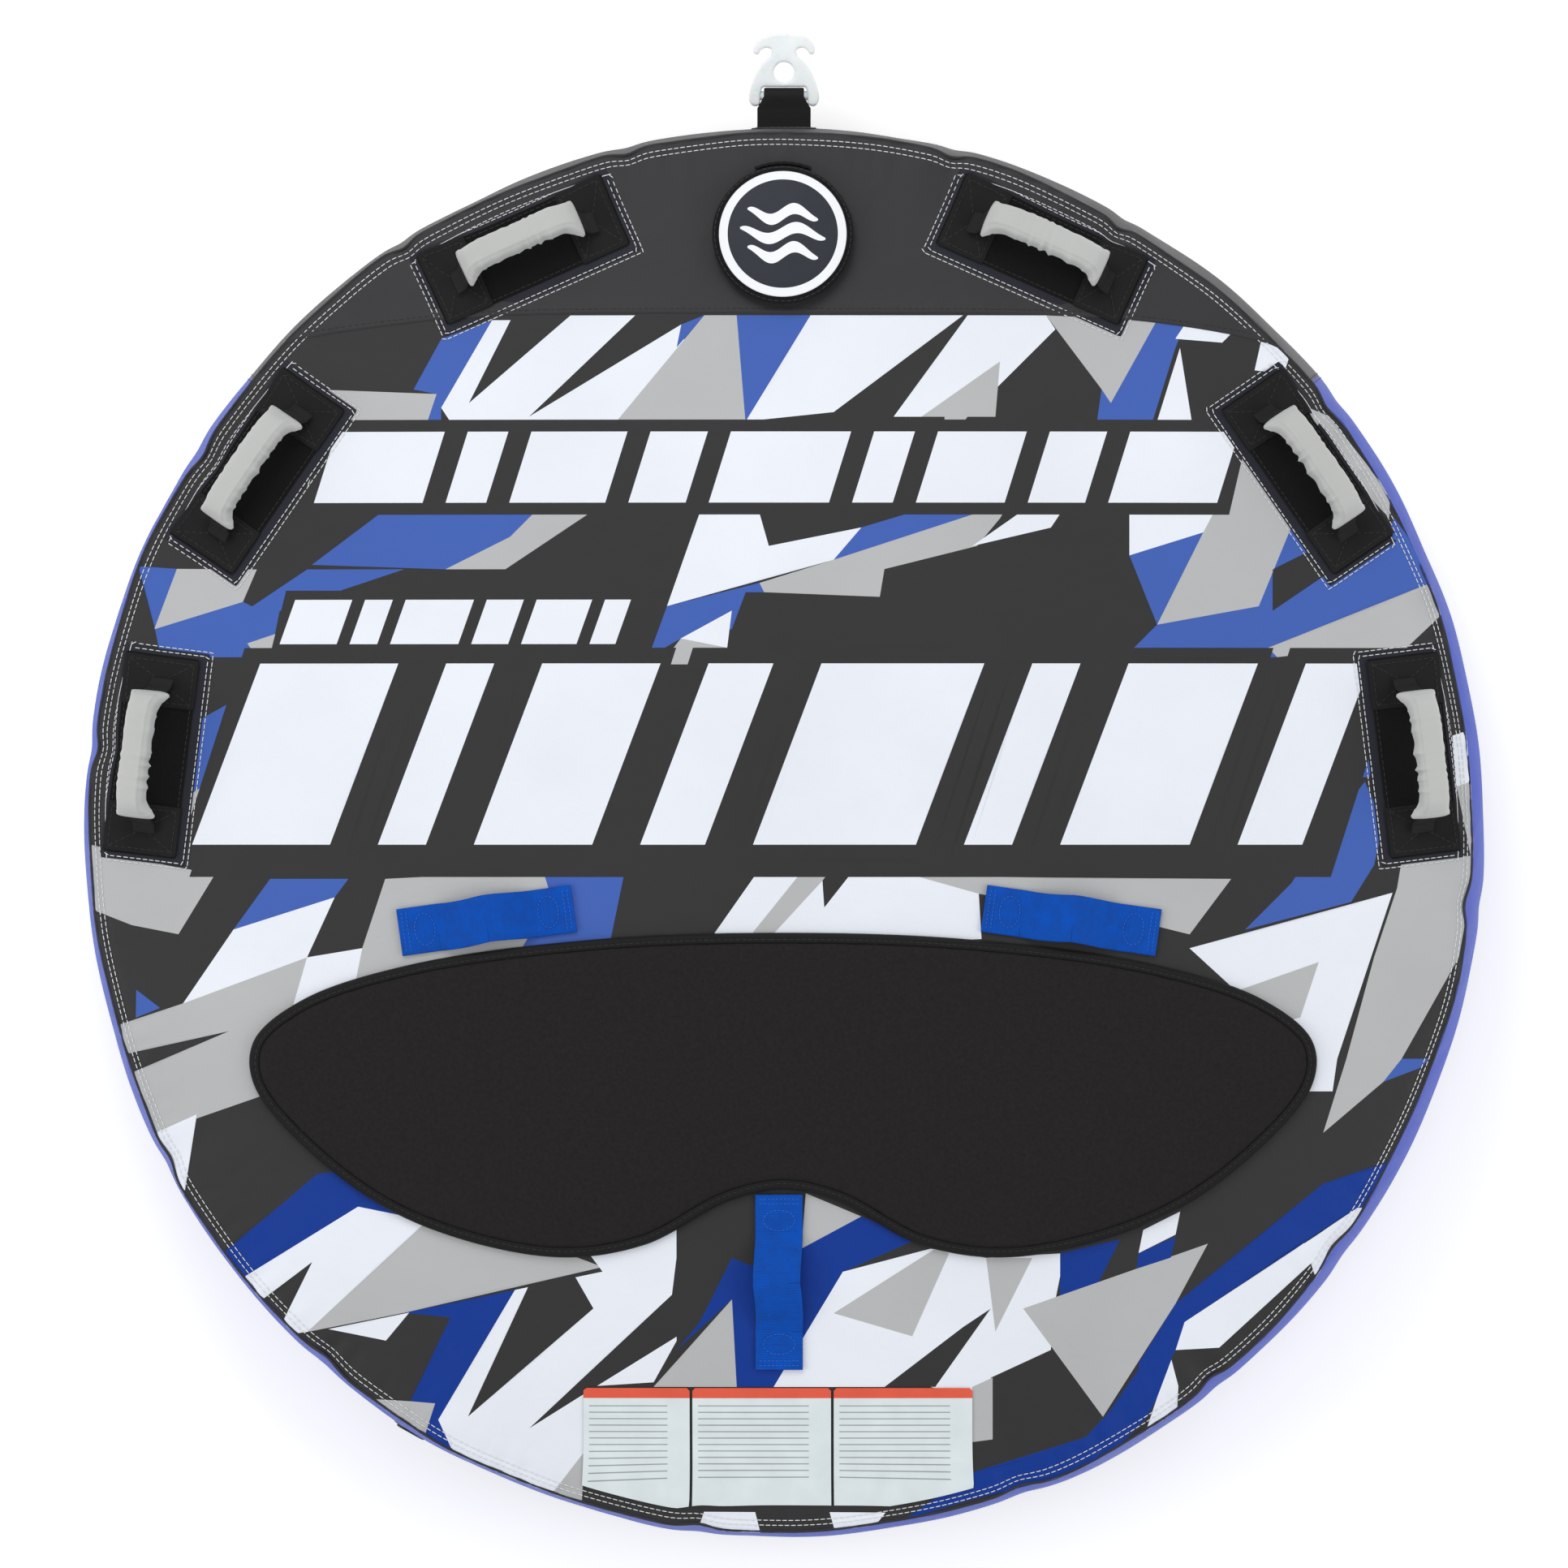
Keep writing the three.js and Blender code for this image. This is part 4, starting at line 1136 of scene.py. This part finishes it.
def add_grip(number, angle):
    """A padded sleeve round the webbing, gathered on its inner side and sewn flat at its ends"""
    around, count = 48, 150
    x = np.linspace(-GRIP_HALF, GRIP_HALF, count)
    z = handle_height(x)
    up = path_normals(x, z)
    share = np.abs(x) / GRIP_HALF
    flat = np.clip((share - 0.76) / 0.24, 0, 1) ** 1.8
    hem = 0.7 * MM * np.clip((share - 0.92) / 0.015, 0, 1)
    half_width = (16 + 6.5 * flat) * MM + hem
    half_height = (11 - 7.5 * flat) * MM + hem
    seed = 1.7 * number
    loose = (0.35 + 0.65 * np.exp(-((x + 9 * MM * math.sin(seed)) / (30 * MM)) ** 2)) * (1 - 0.6 * flat)
    drift = x / MM + 5 * np.sin(x / (11 * MM) + seed)
    gather = 1 - 2 * np.abs(np.sin(drift / 5.2 + seed)) ** 0.7
    fine = np.sin(drift / 1.9 + 2 * seed) * np.sin(x / (9 * MM) + 3 * seed)
    slow = np.sin(x / (17 * MM) + 2.2 * seed)
    rows = []
    for k in range(around):
        turn = TAU * k / around
        c, s = math.cos(turn), math.sin(turn)
        inner = max(0.0, -c) ** 1.5
        outer = max(0.0, c) ** 3
        top = max(0.0, s) ** 2
        ripple = inner * loose * (1.5 * gather + 0.8 * fine) + 0.7 * outer * loose * (fine + slow)
        ripple = ripple + top * (0.5 * slow * math.sin(3 * turn + seed) + 0.25 * fine)
        ridge = 1.6 * math.exp(-((turn - 2.05) / 0.13) ** 2) * (1 - flat)
        swell = (ripple + ridge) * MM
        y = (half_width + swell) * math.copysign(abs(c) ** 0.6, c)
        lift = (half_height + swell) * math.copysign(abs(s) ** 0.6, s)
        rows.append(np.stack([x, y, z], axis=-1) + lift[:, None] * up)
    body = np.stack(rows, axis=1).reshape(-1, 3)
    obj = piece(f"grip_sleeve_{number}", body, flipped(closed_tube(count, around)), "sleeve", body=None,
                slot="grip_grey", replaces=[f"handle_grip_{number}"])
    obj.data.transform(lean_frame(angle))
    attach(obj, f"handle_{number}")


def ribbon(name, path, ups, width, look, rib=2.4 * MM, depth=0.3 * MM, taper=1.0, **facts):
    """Flat webbing along a path, ribbed across its width. Taper gives its width's share at each point"""
    along = unit(np.gradient(path, axis=0))
    across = unit(np.cross(ups, along))
    ups = np.cross(along, across)
    reach = np.concatenate([[0], np.cumsum(np.linalg.norm(np.diff(path, axis=0), axis=1))])
    swell = depth * np.abs(np.sin(math.pi * reach / rib))
    share = taper * np.ones(len(path))
    half, rim = width / 2, WEB / 2
    section = [(s * (half - rim), 1) for s in np.linspace(-1, 1, 9)]
    section += [(half, 0.55), (half + 0.1 * MM, 0), (half, -0.55)]
    section += [(s * (half - rim), -1) for s in np.linspace(1, -1, 9)]
    section += [(-half, -0.55), (-half - 0.1 * MM, 0), (-half, 0.55)]
    rows = []
    for sideways, upwards in section:
        shift = across * (sideways * share)[:, None] + ups * (upwards * (rim - depth + swell))[:, None]
        rows.append(path + shift)
    verts = np.stack(rows, axis=1).reshape(-1, 3)
    return piece(name, verts, flipped(closed_tube(len(path), len(section))), look, **facts)


def add_handle_webbing(number, angle):
    """Each half runs from its sewn foot, which stays on the cover, up into the sleeve"""
    place = lean_frame(angle)
    reach = np.arange(84, 0, -0.9) * MM
    sunk = np.clip((reach - GRIP_HALF) / (16 * MM), 0, 1)
    z = handle_height(reach) * (1 - sunk) + 7.5 * MM * sunk
    for letter, sign in (("a", -1), ("b", 1)):
        up = path_normals(sign * reach, z)
        up = up * np.sign(up[:, 2:])
        path = in_scene(np.stack([sign * reach, 0 * reach, z], axis=-1), place)
        replaced = [f"handle_webbing_{number}"] if letter == "a" else []
        half = ribbon(f"grip_webbing_{number}{letter}", path, aimed(up, place), HANDLE_WEB_WIDTH,
                      "black_web", body=None, slot="webbing_black", replaces=replaced)
        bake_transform(half)


def add_anchors(number, angle):
    """The two sewn-down ends of a handle's webbing"""
    def relief(uv, near):
        return 0.5 * MM * np.sin(170 * uv[:, 0] + number) * np.sin(140 * uv[:, 1])

    shift = (GUARD[0] - ANCHOR[0]) / 2 - 2 * MM
    margin = 10 * MM
    sewn = []
    for letter, centre in (("a", -shift), ("b", shift)):
        outline = on_rim(rectangle(*ANCHOR, corner=1.5 * MM) + [centre, 0], angle, HANDLE_RADIUS)
        slab(f"anchor_{number}{letter}", deck, outline, 2.4 * MM, ANCHOR_TOP, "anchor", edge=0.9 * MM,
             spacing=4 * MM, relief=relief, slot="webbing_black",
             replaces=[f"handle_anchor_{number}{letter}"])
        for points, closed in box_and_cross(ANCHOR[0] - margin, ANCHOR[1] - margin):
            sewn.append((on_rim(points + [centre, 0], angle, HANDLE_RADIUS), closed))
    stitches(f"anchor_stitching_{number}", deck, sewn, "thread_black", lift=ANCHOR_TOP, slot="webbing_black")


def around_guard(angle, margin, outward=0.0):
    """The guard's outline, grown by a margin and moved towards the rim"""
    outline = rectangle(GUARD[0] + 2 * margin, GUARD[1] + 2 * margin, 2 * MM)
    return on_rim(outline + [0, outward], angle, HANDLE_RADIUS)


def add_guard_seams(number, angle):
    """The backing cloth under a guard, two rows of stitches round it, and one along the guard's edge"""
    backing = around_guard(angle, 7 * MM, -4 * MM)
    slab(f"guard_backing_{number}", deck, backing, 0.1 * MM, 0.6 * MM, "backing", edge=0.5 * MM,
         spacing=8 * MM, slot="cover_charcoal")
    rows = []
    for out in (4 * MM, 9 * MM):
        size = (GUARD[0] + 2 * out, GUARD[1] + 2 * out + 4 * MM)
        outline = on_rim(rectangle(*size, 2 * MM) + [0, -3 * MM], angle, HANDLE_RADIUS)
        limit = np.minimum(1, (SEAM_RADIUS - 15 * MM) / np.hypot(outline[:, 0], outline[:, 1]))
        rows.append((outline * limit[:, None], True))
    stitches(f"guard_stitching_{number}", deck, rows, "thread_white", lift=0.7 * MM, slot="cover_charcoal")
    row = on_rim(rectangle(GUARD[0] - 7 * MM, GUARD[1] - 7 * MM), angle, HANDLE_RADIUS)
    stitches(f"guard_edge_stitching_{number}", deck, [(row, True)], "thread_black", lift=GUARD_TOP,
             slot="neoprene")


def add_guard(number, angle):
    """The padded knuckle guard under a handle"""
    def relief(uv, near):
        return near * 0.5 * MM * np.sin(70 * uv[:, 0] + number) * np.sin(64 * uv[:, 1])

    outline = around_guard(angle, 0.0)
    pad = slab(f"guard_{number}", deck, outline, 0.2 * MM, GUARD_TOP, "guard", edge=1.2 * MM, relief=relief,
               slot="neoprene", replaces=[f"knuckle_guard_{number}"])


def add_handle(number, angle):
    """One grab handle and everything under it"""
    add_guard(number, angle)
    add_anchors(number, angle)
    add_guard_seams(number, angle)
    add_handle_webbing(number, angle)
    add_grip(number, angle)


# ---------------------------------------------------------------- straps, tow point, valve, zip and labels

def add_strap(name, node, x, y, degrees):
    """A webbing strap sewn down at both ends and bowed in the middle"""
    place = tangent_frame(x, y, math.radians(degrees))
    half, sewn, rise = 95.5 * MM, 42 * MM, 17 * MM
    s = np.arange(-half, half, 0.6 * MM)
    bow = np.clip((half - sewn - np.abs(s)) / (half - sewn), 0, 1)
    z = 2.2 * MM + rise * np.sin(bow * math.pi / 2) ** 1.3
    wander = 3 * MM * np.sin(s / (26 * MM) + 1) * bow
    path = in_scene(np.stack([s, wander, z], axis=-1), place)
    ribbon(name, path, aimed(path_normals(s, z), place), STRAP_WIDTH, "blue_web", rib=2.7 * MM,
           depth=0.6 * MM, slot="webbing_blue", replaces=[node])
    side_margin = 3.5 * MM
    across = STRAP_WIDTH / 2 - side_margin
    lines = []
    for sign in (-1, 1):
        ring = circle(1, 40) * [11 * MM, 17 * MM] + [sign * (half - 28 * MM), 0]
        lines.append((ring, True))
        for inset in (5 * MM, 10 * MM):
            at = sign * (half - inset)
            lines.append((np.array([(at, -across), (at, across)]), False))
    direction = np.array(place.to_3x3())[:2, :2]
    rows = [(points @ direction.T + np.array([x, y]), closed) for points, closed in lines]
    stitches(f"{name}_stitching", deck, rows, "thread_blue", lift=4.5 * MM, length=3 * MM, pitch=4.4 * MM,
             slot="webbing_blue")


def plate(name, outline, half, edge, place, look, holes=(), spacing=4 * MM, **facts):
    """A flat moulded or stamped part with round edges, the same on both faces"""
    shares = (0.06, 0.2, 0.45, 0.8)
    insets = [shifted(outline, -edge * share) for share in shares]
    for hole in holes:
        insets += [shifted(hole, edge * share) for share in shares]
    uv, faces = fill(outline, np.vstack([hex_grid(outline, spacing), *insets]), holes, 0.02 * MM)
    near = distance_to(outline, uv)
    for hole in holes:
        faces = faces[~inside(hole, uv[faces].mean(axis=1))]
        near = np.minimum(near, distance_to(hole, uv))
    swell = np.sqrt(1 - (1 - np.clip(near / edge, 0, 1)) ** 2)
    height = half - edge * (1 - swell)
    top = np.column_stack([uv, height])
    bottom = np.column_stack([uv, -height])
    verts = [place @ Vector(v) for v in np.vstack([top, bottom])]
    return piece(name, verts, both_sides(faces, len(uv)), look, **facts)


def add_tow_point():
    """The patches outside and inside the side wall, the webbing loop, and the hook on it"""
    centre = FRONT * SIDE_RADIUS
    length, width, margin = 70 * MM, 90 * MM, 12 * MM
    patch = rectangle(length, width, 5 * MM) + [centre, MIDDLE]
    slab("tow_patch", side, patch, 0.3 * MM, 1.2 * MM, "band_charcoal", edge=1 * MM, spacing=5 * MM,
         slot="webbing_black", replaces=["tow_anchor"])
    slab("tow_backing_patch", side, patch, -3.2 * MM, -1.8 * MM, "guard", spacing=12 * MM,
         slot="webbing_black", replaces=["tow_backing"])
    lines = box_and_cross(length - margin, width - margin)
    sewn = [(points + [centre, MIDDLE], closed) for points, closed in lines]
    stitches("tow_patch_stitching", side, sewn, "thread_black", lift=1.2 * MM, radius=0.4 * MM,
             slot="webbing_black")
    add_tow_loop()
    add_hook()


def add_tow_loop():
    """Webbing that leaves the side wall, narrows, and wraps round the hook's bar"""
    wrap = BAR_RADIUS + 2.2 * MM
    turns = np.linspace(math.radians(115), math.radians(-115), 60)
    bight = np.stack([BAR_Y + wrap * np.cos(turns), wrap * np.sin(turns)], axis=-1)
    narrows_at = BAR_Y - 14 * MM
    upper = [(SIDE_RADIUS - 2 * MM, 2.4 * MM), (TOW_HINGE_Y + 4 * MM, 2.2 * MM), (narrows_at, 3.6 * MM)]
    lower = [(y, -z) for y, z in reversed(upper)]
    line = resample(np.vstack([upper, bight, lower]), 0.6 * MM, closed=False)
    window = 7
    eased = np.convolve(np.pad(line[:, 1], window // 2, "edge"), np.ones(window) / window, "valid")
    path = np.column_stack([np.zeros(len(line)), line[:, 0], MIDDLE + eased])
    ups = np.cross(np.array([1.0, 0, 0]), np.gradient(path, axis=0))
    reach = np.clip((line[:, 0] - narrows_at) / (13 * MM), 0, 1)
    loop = ribbon("tow_webbing", path, ups, 2 * BAR_HALF, "black_web", taper=1 - 0.25 * reach, body=None,
                  slot="webbing_black", replaces=["tow_strap"])
    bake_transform(loop)


def add_hook():
    """The moulded hook: a plate with two cheeks that hold the bar, an eye, and two horns in front"""
    right = [(0, 9.4), (16, 9.4), (23, 9), (25.5, 3), (27, -10), (34, -11), (38, -5), (37.5, 5), (34, 17),
             (29, 28), (22, 37), (15, 43), (14, 50), (20, 52), (25, 49.5), (28, 45), (33, 46), (33.5, 54),
             (28, 62), (16, 67), (0, 68)]
    left = [(-x, y) for x, y in reversed(right[1:-1])]
    outline = smooth_loop(right + left, 5) * MM
    place = Matrix.Translation((0, BAR_Y, MIDDLE))
    eye = circle(11 * MM, 44) + [0, 25.5 * MM]
    plate("hook_plate", resample(outline, 1.6 * MM), 7 * MM, 3 * MM, place, "nylon", holes=[eye],
          spacing=3 * MM, body="connector", slot="nylon_clear", replaces=["tow_connector"])
    sideways = place @ Matrix.Rotation(TAU / 4, 4, "Y")
    profile = [(0, -BAR_HALF), (BAR_RADIUS, -BAR_HALF), (BAR_RADIUS, BAR_HALF), (0, BAR_HALF)]
    lathe("hook_bar", profile, sideways, "nylon", 32, body="connector", slot="nylon_clear")


def flap_surface(place):
    """The flap's domed top, as a surface over its own x and y"""
    def surface(x, y):
        height = 23 * MM - 6 * MM * (np.hypot(x, y) / FLAP_RADIUS) ** 2
        return in_scene(np.stack([x, y, height + 0 * x], axis=-1), place)
    return surface


def wave_band(shift, reach, rise, half):
    """A plain wavy stripe"""
    x = np.linspace(-reach, reach, 40)
    y = shift + rise * np.sin(x / reach * math.pi * 1.5)
    thick = half * np.sqrt(np.maximum(0.02, 1 - (x / reach) ** 2))
    upper = np.stack([x, y + thick], axis=-1)
    lower = np.stack([x, y - thick], axis=-1)
    return np.vstack([lower, upper[::-1]])


def add_valve():
    """The valve, its collar, and the padded flap over them"""
    place = rim_frame(0, VALVE_Y)
    neck = [(9, -14), (19, -14), (19, -4.6), (38, -4.6), (38, -2.4), (22, -2.4), (22, 7.6), (21.2, 8.5),
            (15, 8.5), (13.5, 6), (10, 6), (9, 5), (9, -14)]
    lathe("valve_seat", [(r * MM, z * MM) for r, z in neck], place, "valve", slot="valve_plastic",
          replaces=["valve_body"])
    add_collar(place)
    add_flap(place)
    add_badge(place)
    add_flap_hinge(place, FLAP_RADIUS + 1 * MM)


def add_flap(place):
    """The flap's padded disc, puffed up by a cloth simulation"""
    steps = 96
    profile = [(0.5, 11.5), (40, 11.5), (44, 5), (47, 1.2), (69, 1.0), (75, 2.2), (77.5, 5.5), (77.5, 10),
               (75, 14), (68, 16.6), (50, 19.4), (25, 21.2), (0.5, 21.6)]
    flap = lathe("flap_pad", [(r * MM, z * MM) for r, z in profile], place, "flap", steps, body=None,
                 slot="webbing_black", replaces=["valve_flap"])
    close_ends(flap, steps)
    inflate(flap, 3.2 * MM, 2.2 * MM)
    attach(flap, "flap")


def add_badge(place):
    """The flap's printed face: a white ring, and a plain wave sign on slate"""
    top = flap_surface(place)
    edge = circle(68 * MM, 200)
    shapes = [("badge_slate", circle(59.5 * MM, 160))]
    for shift, reach in ((21 * MM, 38 * MM), (0.0, 46 * MM), (-21 * MM, 38 * MM)):
        shapes.append(("badge_white", wave_band(shift, reach, 6 * MM, 6.5 * MM)))
    spacing = 4 * MM
    points = rings(np.arange(spacing, 67 * MM, spacing), spacing)
    printed("badge_face", top, edge, points, "badge_white", shapes, 1.6 * MM, body="flap",
            slot="badge_print", replaces=["valve_badge"])
    rim = [(-0.9, 0.2), (-1.0, 1.0), (-0.4, 1.7), (0.6, 1.8), (1.4, 1.5)]
    strip_round("badge_rim", top, edge, [(inset * MM, height * MM) for inset, height in rim], "badge_white",
                body="flap", slot="badge_print")
    row = circle(73.5 * MM, 220)
    stitches("flap_stitching", top, [(row, True)], "thread_black", lift=0.8 * MM, body="flap",
             slot="webbing_black")


def add_flap_hinge(place, radius):
    """A strip of tape along the flap's front edge: sewn to the cover below and to the flap above"""
    angles = np.linspace(math.radians(-22), math.radians(22), 30)
    profile = [(4, 0.2), (4.2, 0.9), (1.8, 1.5), (1.3, 4), (0.6, 10), (-0.4, 10), (0.3, 4), (0.5, 0.4)]
    rows = []
    for a in angles:
        for out, height in profile:
            reach = radius + (out + 0.35 * math.sin(61 * a)) * MM
            rows.append(place @ Vector((reach * math.sin(a), reach * math.cos(a), height * MM)))
    faces = closed_tube(len(angles), len(profile))
    tape = piece("flap_hinge_tape", rows, faces, "flap", body=None, slot="webbing_black")
    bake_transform(tape)


def close_ends(obj, steps):
    """Closes a lathed piece's two small holes on its axis"""
    count = len(obj.data.vertices)
    verts = coordinates(obj.data)
    faces = [tuple(p.vertices) for p in obj.data.polygons]
    faces += [tuple(range(steps)), tuple(reversed(range(count - steps, count)))]
    looks = list(obj.data.materials)
    mesh = bpy.data.meshes.new(obj.name)
    mesh.from_pydata([tuple(v) for v in verts], [], faces)
    mesh.shade_smooth()
    for look in looks:
        mesh.materials.append(look)
    obj.data = mesh


def add_collar(place):
    """The collar's ring, with finger notches round it"""
    steps, notches, notch_depth = 144, 6, 3.2
    angles = TAU * np.arange(steps) / steps
    dent = np.maximum(0, np.cos(angles * notches)) ** 6
    profile = [(22.8, 1), (30, 1), (30.6, 2), (30.6, 7), (30, 8), (24, 8), (22.8, 7.4), (22.8, 1)]
    verts = []
    for radius, height in profile:
        depth = notch_depth if radius > 26 else 0
        for reach, angle in zip((radius - depth * dent) * MM, angles):
            verts.append(place @ Vector((reach * math.cos(angle), reach * math.sin(angle), height * MM)))
    faces = flipped(grid_faces(len(profile), steps, closed=True))
    piece("collar_ring", verts, faces, "valve", body="collar", slot="valve_plastic",
          replaces=["valve_collar"])


def add_zip():
    """The zip across the rear of the side band: tape, two rows of teeth, stitches and slider"""
    width = 26 * MM
    centre = (REAR + TAU) * SIDE_RADIUS
    half = ZIP_HALF_ANGLE * SIDE_RADIUS
    outline = rectangle(2 * half, width) + [centre, ZIP_HEIGHT]
    slab("zip_cloth", side, outline, 0.3 * MM, 1.7 * MM, "binding", edge=1 * MM, slot="webbing_black",
         replaces=["zip_tape"])
    add_teeth(centre, half)
    low, high = centre - half + 4 * MM, centre + half - 4 * MM
    rows = [resample([(low, ZIP_HEIGHT + shift), (high, ZIP_HEIGHT + shift)], 20 * MM, closed=False)
            for shift in (-10 * MM, 10 * MM)]
    stitches("zip_stitching", side, [(row, False) for row in rows], "thread_black", lift=1.7 * MM,
             slot="webbing_black")
    add_slider(centre - half + math.radians(2) * SIDE_RADIUS, ZIP_HEIGHT)


def add_teeth(centre, half):
    """Two rows of teeth, one half a pitch on from the other"""
    pitch, end_margin = 2 * MM, 8 * MM
    tooth = rectangle(1.0 * MM, 4.6 * MM, 0.4 * MM, 0.8 * MM)
    levels = (-0.6 * MM, 1.2 * MM)
    block = np.vstack([np.column_stack([tooth, np.full(len(tooth), z)]) for z in levels])
    count = len(tooth)
    faces = grid_faces(len(levels), count, closed=True) + [tuple(range(count, 2 * count))]
    verts, many, total = [], [], 0
    for row, shift in ((-1, 0.0), (1, pitch / 2)):
        along = np.arange(centre - half + end_margin, centre + half - end_margin, pitch) + shift
        height = np.full(len(along), ZIP_HEIGHT + row * 1.2 * MM)
        at, up = on_surface(side, along, height, 2.0 * MM)
        ahead = on_surface(side, along + MM, height, 2.0 * MM)[0] - at
        more_verts, more_faces = copies((block, faces), at, ahead, up)
        verts.append(more_verts)
        many.extend(tuple(i + total for i in face) for face in more_faces)
        total += len(more_verts)
    piece("zip_teeth", np.vstack(verts), many, "teeth", slot="webbing_black")


def add_slider(along, height):
    """The zip's slider and its pull tab, near the tape's -X end"""
    at, up = on_surface(side, np.array([along]), np.array([height]), 5.2 * MM)
    up = Vector(up[0])
    ahead = Vector((-up.y, up.x, 0)).normalized()
    place = Matrix((ahead, up.cross(ahead), up)).transposed().to_4x4()
    place.translation = Vector(at[0])
    body = rectangle(16 * MM, 17 * MM, 4 * MM, 1.2 * MM)
    plate("slider_body", body, 2.4 * MM, 1.4 * MM, place, "slider", spacing=2 * MM, body="zip_pull",
          slot="zip_metal", replaces=["zip_slider"])
    tab = rectangle(34 * MM, 11 * MM, 4.5 * MM, 1.2 * MM)
    hole = circle(2.6 * MM, 24) + [-12 * MM, 0]
    hang = place @ Matrix.Translation((14 * MM, 0, 3.4 * MM)) @ Matrix.Rotation(math.radians(4), 4, "Y")
    plate("slider_tab", tab, 0.9 * MM, 0.7 * MM, hang, "slider", holes=[hole], spacing=2 * MM,
          body="zip_pull", slot="zip_metal")


def box_corners(left, right, low, high):
    """The corners of an upright rectangle, anticlockwise"""
    return np.array([(left, low), (right, low), (right, high), (left, high)])


def add_labels():
    """Three blank care panels near the rear, each with a plain header and ruled lines"""
    low, high, header, rules = -724 * MM, -601 * MM, 11 * MM, 12
    for number, (left, right) in enumerate([(-216, -101), (-98, 52), (55, 205)], 1):
        left, right = left * MM, right * MM
        outline = resample(box_corners(left, right, low, high), 6 * MM)
        radius = np.hypot(outline[:, 0], outline[:, 1])
        outline = outline * np.minimum(1, (SEAM_RADIUS - 13 * MM) / radius)[:, None]
        shapes = [("label_header", box_corners(left, right, high - header, high))]
        for row in range(rules):
            y = high - header - (9 + 7 * row) * MM
            rule = box_corners(left + 6 * MM, right - 24 * MM, y, y + 1.2 * MM)
            shapes.append(("label_rule", rule))
        printed(f"label_{number}", deck, outline, hex_grid(outline, 5 * MM), "label", shapes, 1.5 * MM,
                clear=0.3 * MM, slot="badge_print")


# ---------------------------------------------------------------- scene

def add_floor():
    """A plain pale studio floor"""
    reach = 30
    corners = [(x, y, 0) for x, y in box_corners(-reach, reach, -reach, reach).tolist()]
    mesh = bpy.data.meshes.new("floor")
    mesh.from_pydata(corners, [], [(0, 1, 2, 3)])
    floor = bpy.data.objects.new("floor", mesh)
    bpy.context.scene.collection.objects.link(floor)
    made = Nodes("studio_floor")
    made.paint(colour(250, 250, 250), made.noise(0.6, 2), 0.01)
    roughness = made.span(made.noise(3, 2), 0.75, 0.85)
    mesh.materials.append(made.finish(roughness, Emission_Color=(1, 1, 1, 1), Emission_Strength=0.35))


def add_camera():
    """Looks straight down from far off, leaning very slightly to the right and to the rear"""
    distance = 20
    aim = Vector((0.0, 0.053, MIDDLE))
    eye = aim + Vector((0.19, -0.05, distance))
    view = (aim - eye).normalized()
    right = view.cross(Vector((0, 1, 0))).normalized()
    camera = bpy.data.objects.new("camera", bpy.data.cameras.new("camera"))
    camera.matrix_world = Matrix((right, right.cross(view), -view)).transposed().to_4x4()
    camera.location = eye
    camera.data.sensor_width = 36
    camera.data.lens = 421.5
    bpy.context.scene.collection.objects.link(camera)
    bpy.context.scene.camera = camera


def add_lamp(name, place, aim, size, power):
    """A round area lamp that faces a point"""
    data = bpy.data.lights.new(name, "AREA")
    data.shape = "DISK"
    data.size = size
    data.energy = power
    lamp = bpy.data.objects.new(name, data)
    lamp.location = place
    lamp.rotation_euler = (Vector(aim) - Vector(place)).to_track_quat("-Z", "Y").to_euler()
    bpy.context.scene.collection.objects.link(lamp)


def add_lights():
    """A white sky, a key lamp in front of the tow point, and a fill on either side"""
    world = bpy.data.worlds.new("studio")
    world.use_nodes = True
    background = world.node_tree.nodes["Background"]
    background.inputs["Color"].default_value = (1, 1, 1, 1)
    background.inputs["Strength"].default_value = 0.62
    bpy.context.scene.world = world
    bpy.context.scene.view_settings.view_transform = "Standard"
    add_lamp("key", (-0.8, 3.0, 3.6), (0, 0.2, 0.2), 2.5, 60)
    add_lamp("fill_left", (-3.4, -0.6, 2.6), (0, 0, 0.2), 2.5, 40)
    add_lamp("fill_right", (3.4, -0.6, 2.6), (0, 0, 0.2), 2.5, 40)


add_camera()
add_lights()
add_floor()
top_points = top_grid()
add_deck(top_points)
add_front_panel(top_points)
add_top_stitching()
add_sides()
add_bottom()
add_bladder()
add_pad()
for index, direction in enumerate(HANDLE_ANGLES, 1):
    add_handle(index, direction)
add_strap("left_strap", "grab_strap_left", -320 * MM, -95 * MM, 8)
add_strap("right_strap", "grab_strap_right", 312 * MM, -95 * MM, -8)
add_strap("rear_strap", "boarding_strap", -4 * MM, -486 * MM, 90)
add_tow_point()
add_valve()
add_zip()
add_labels()
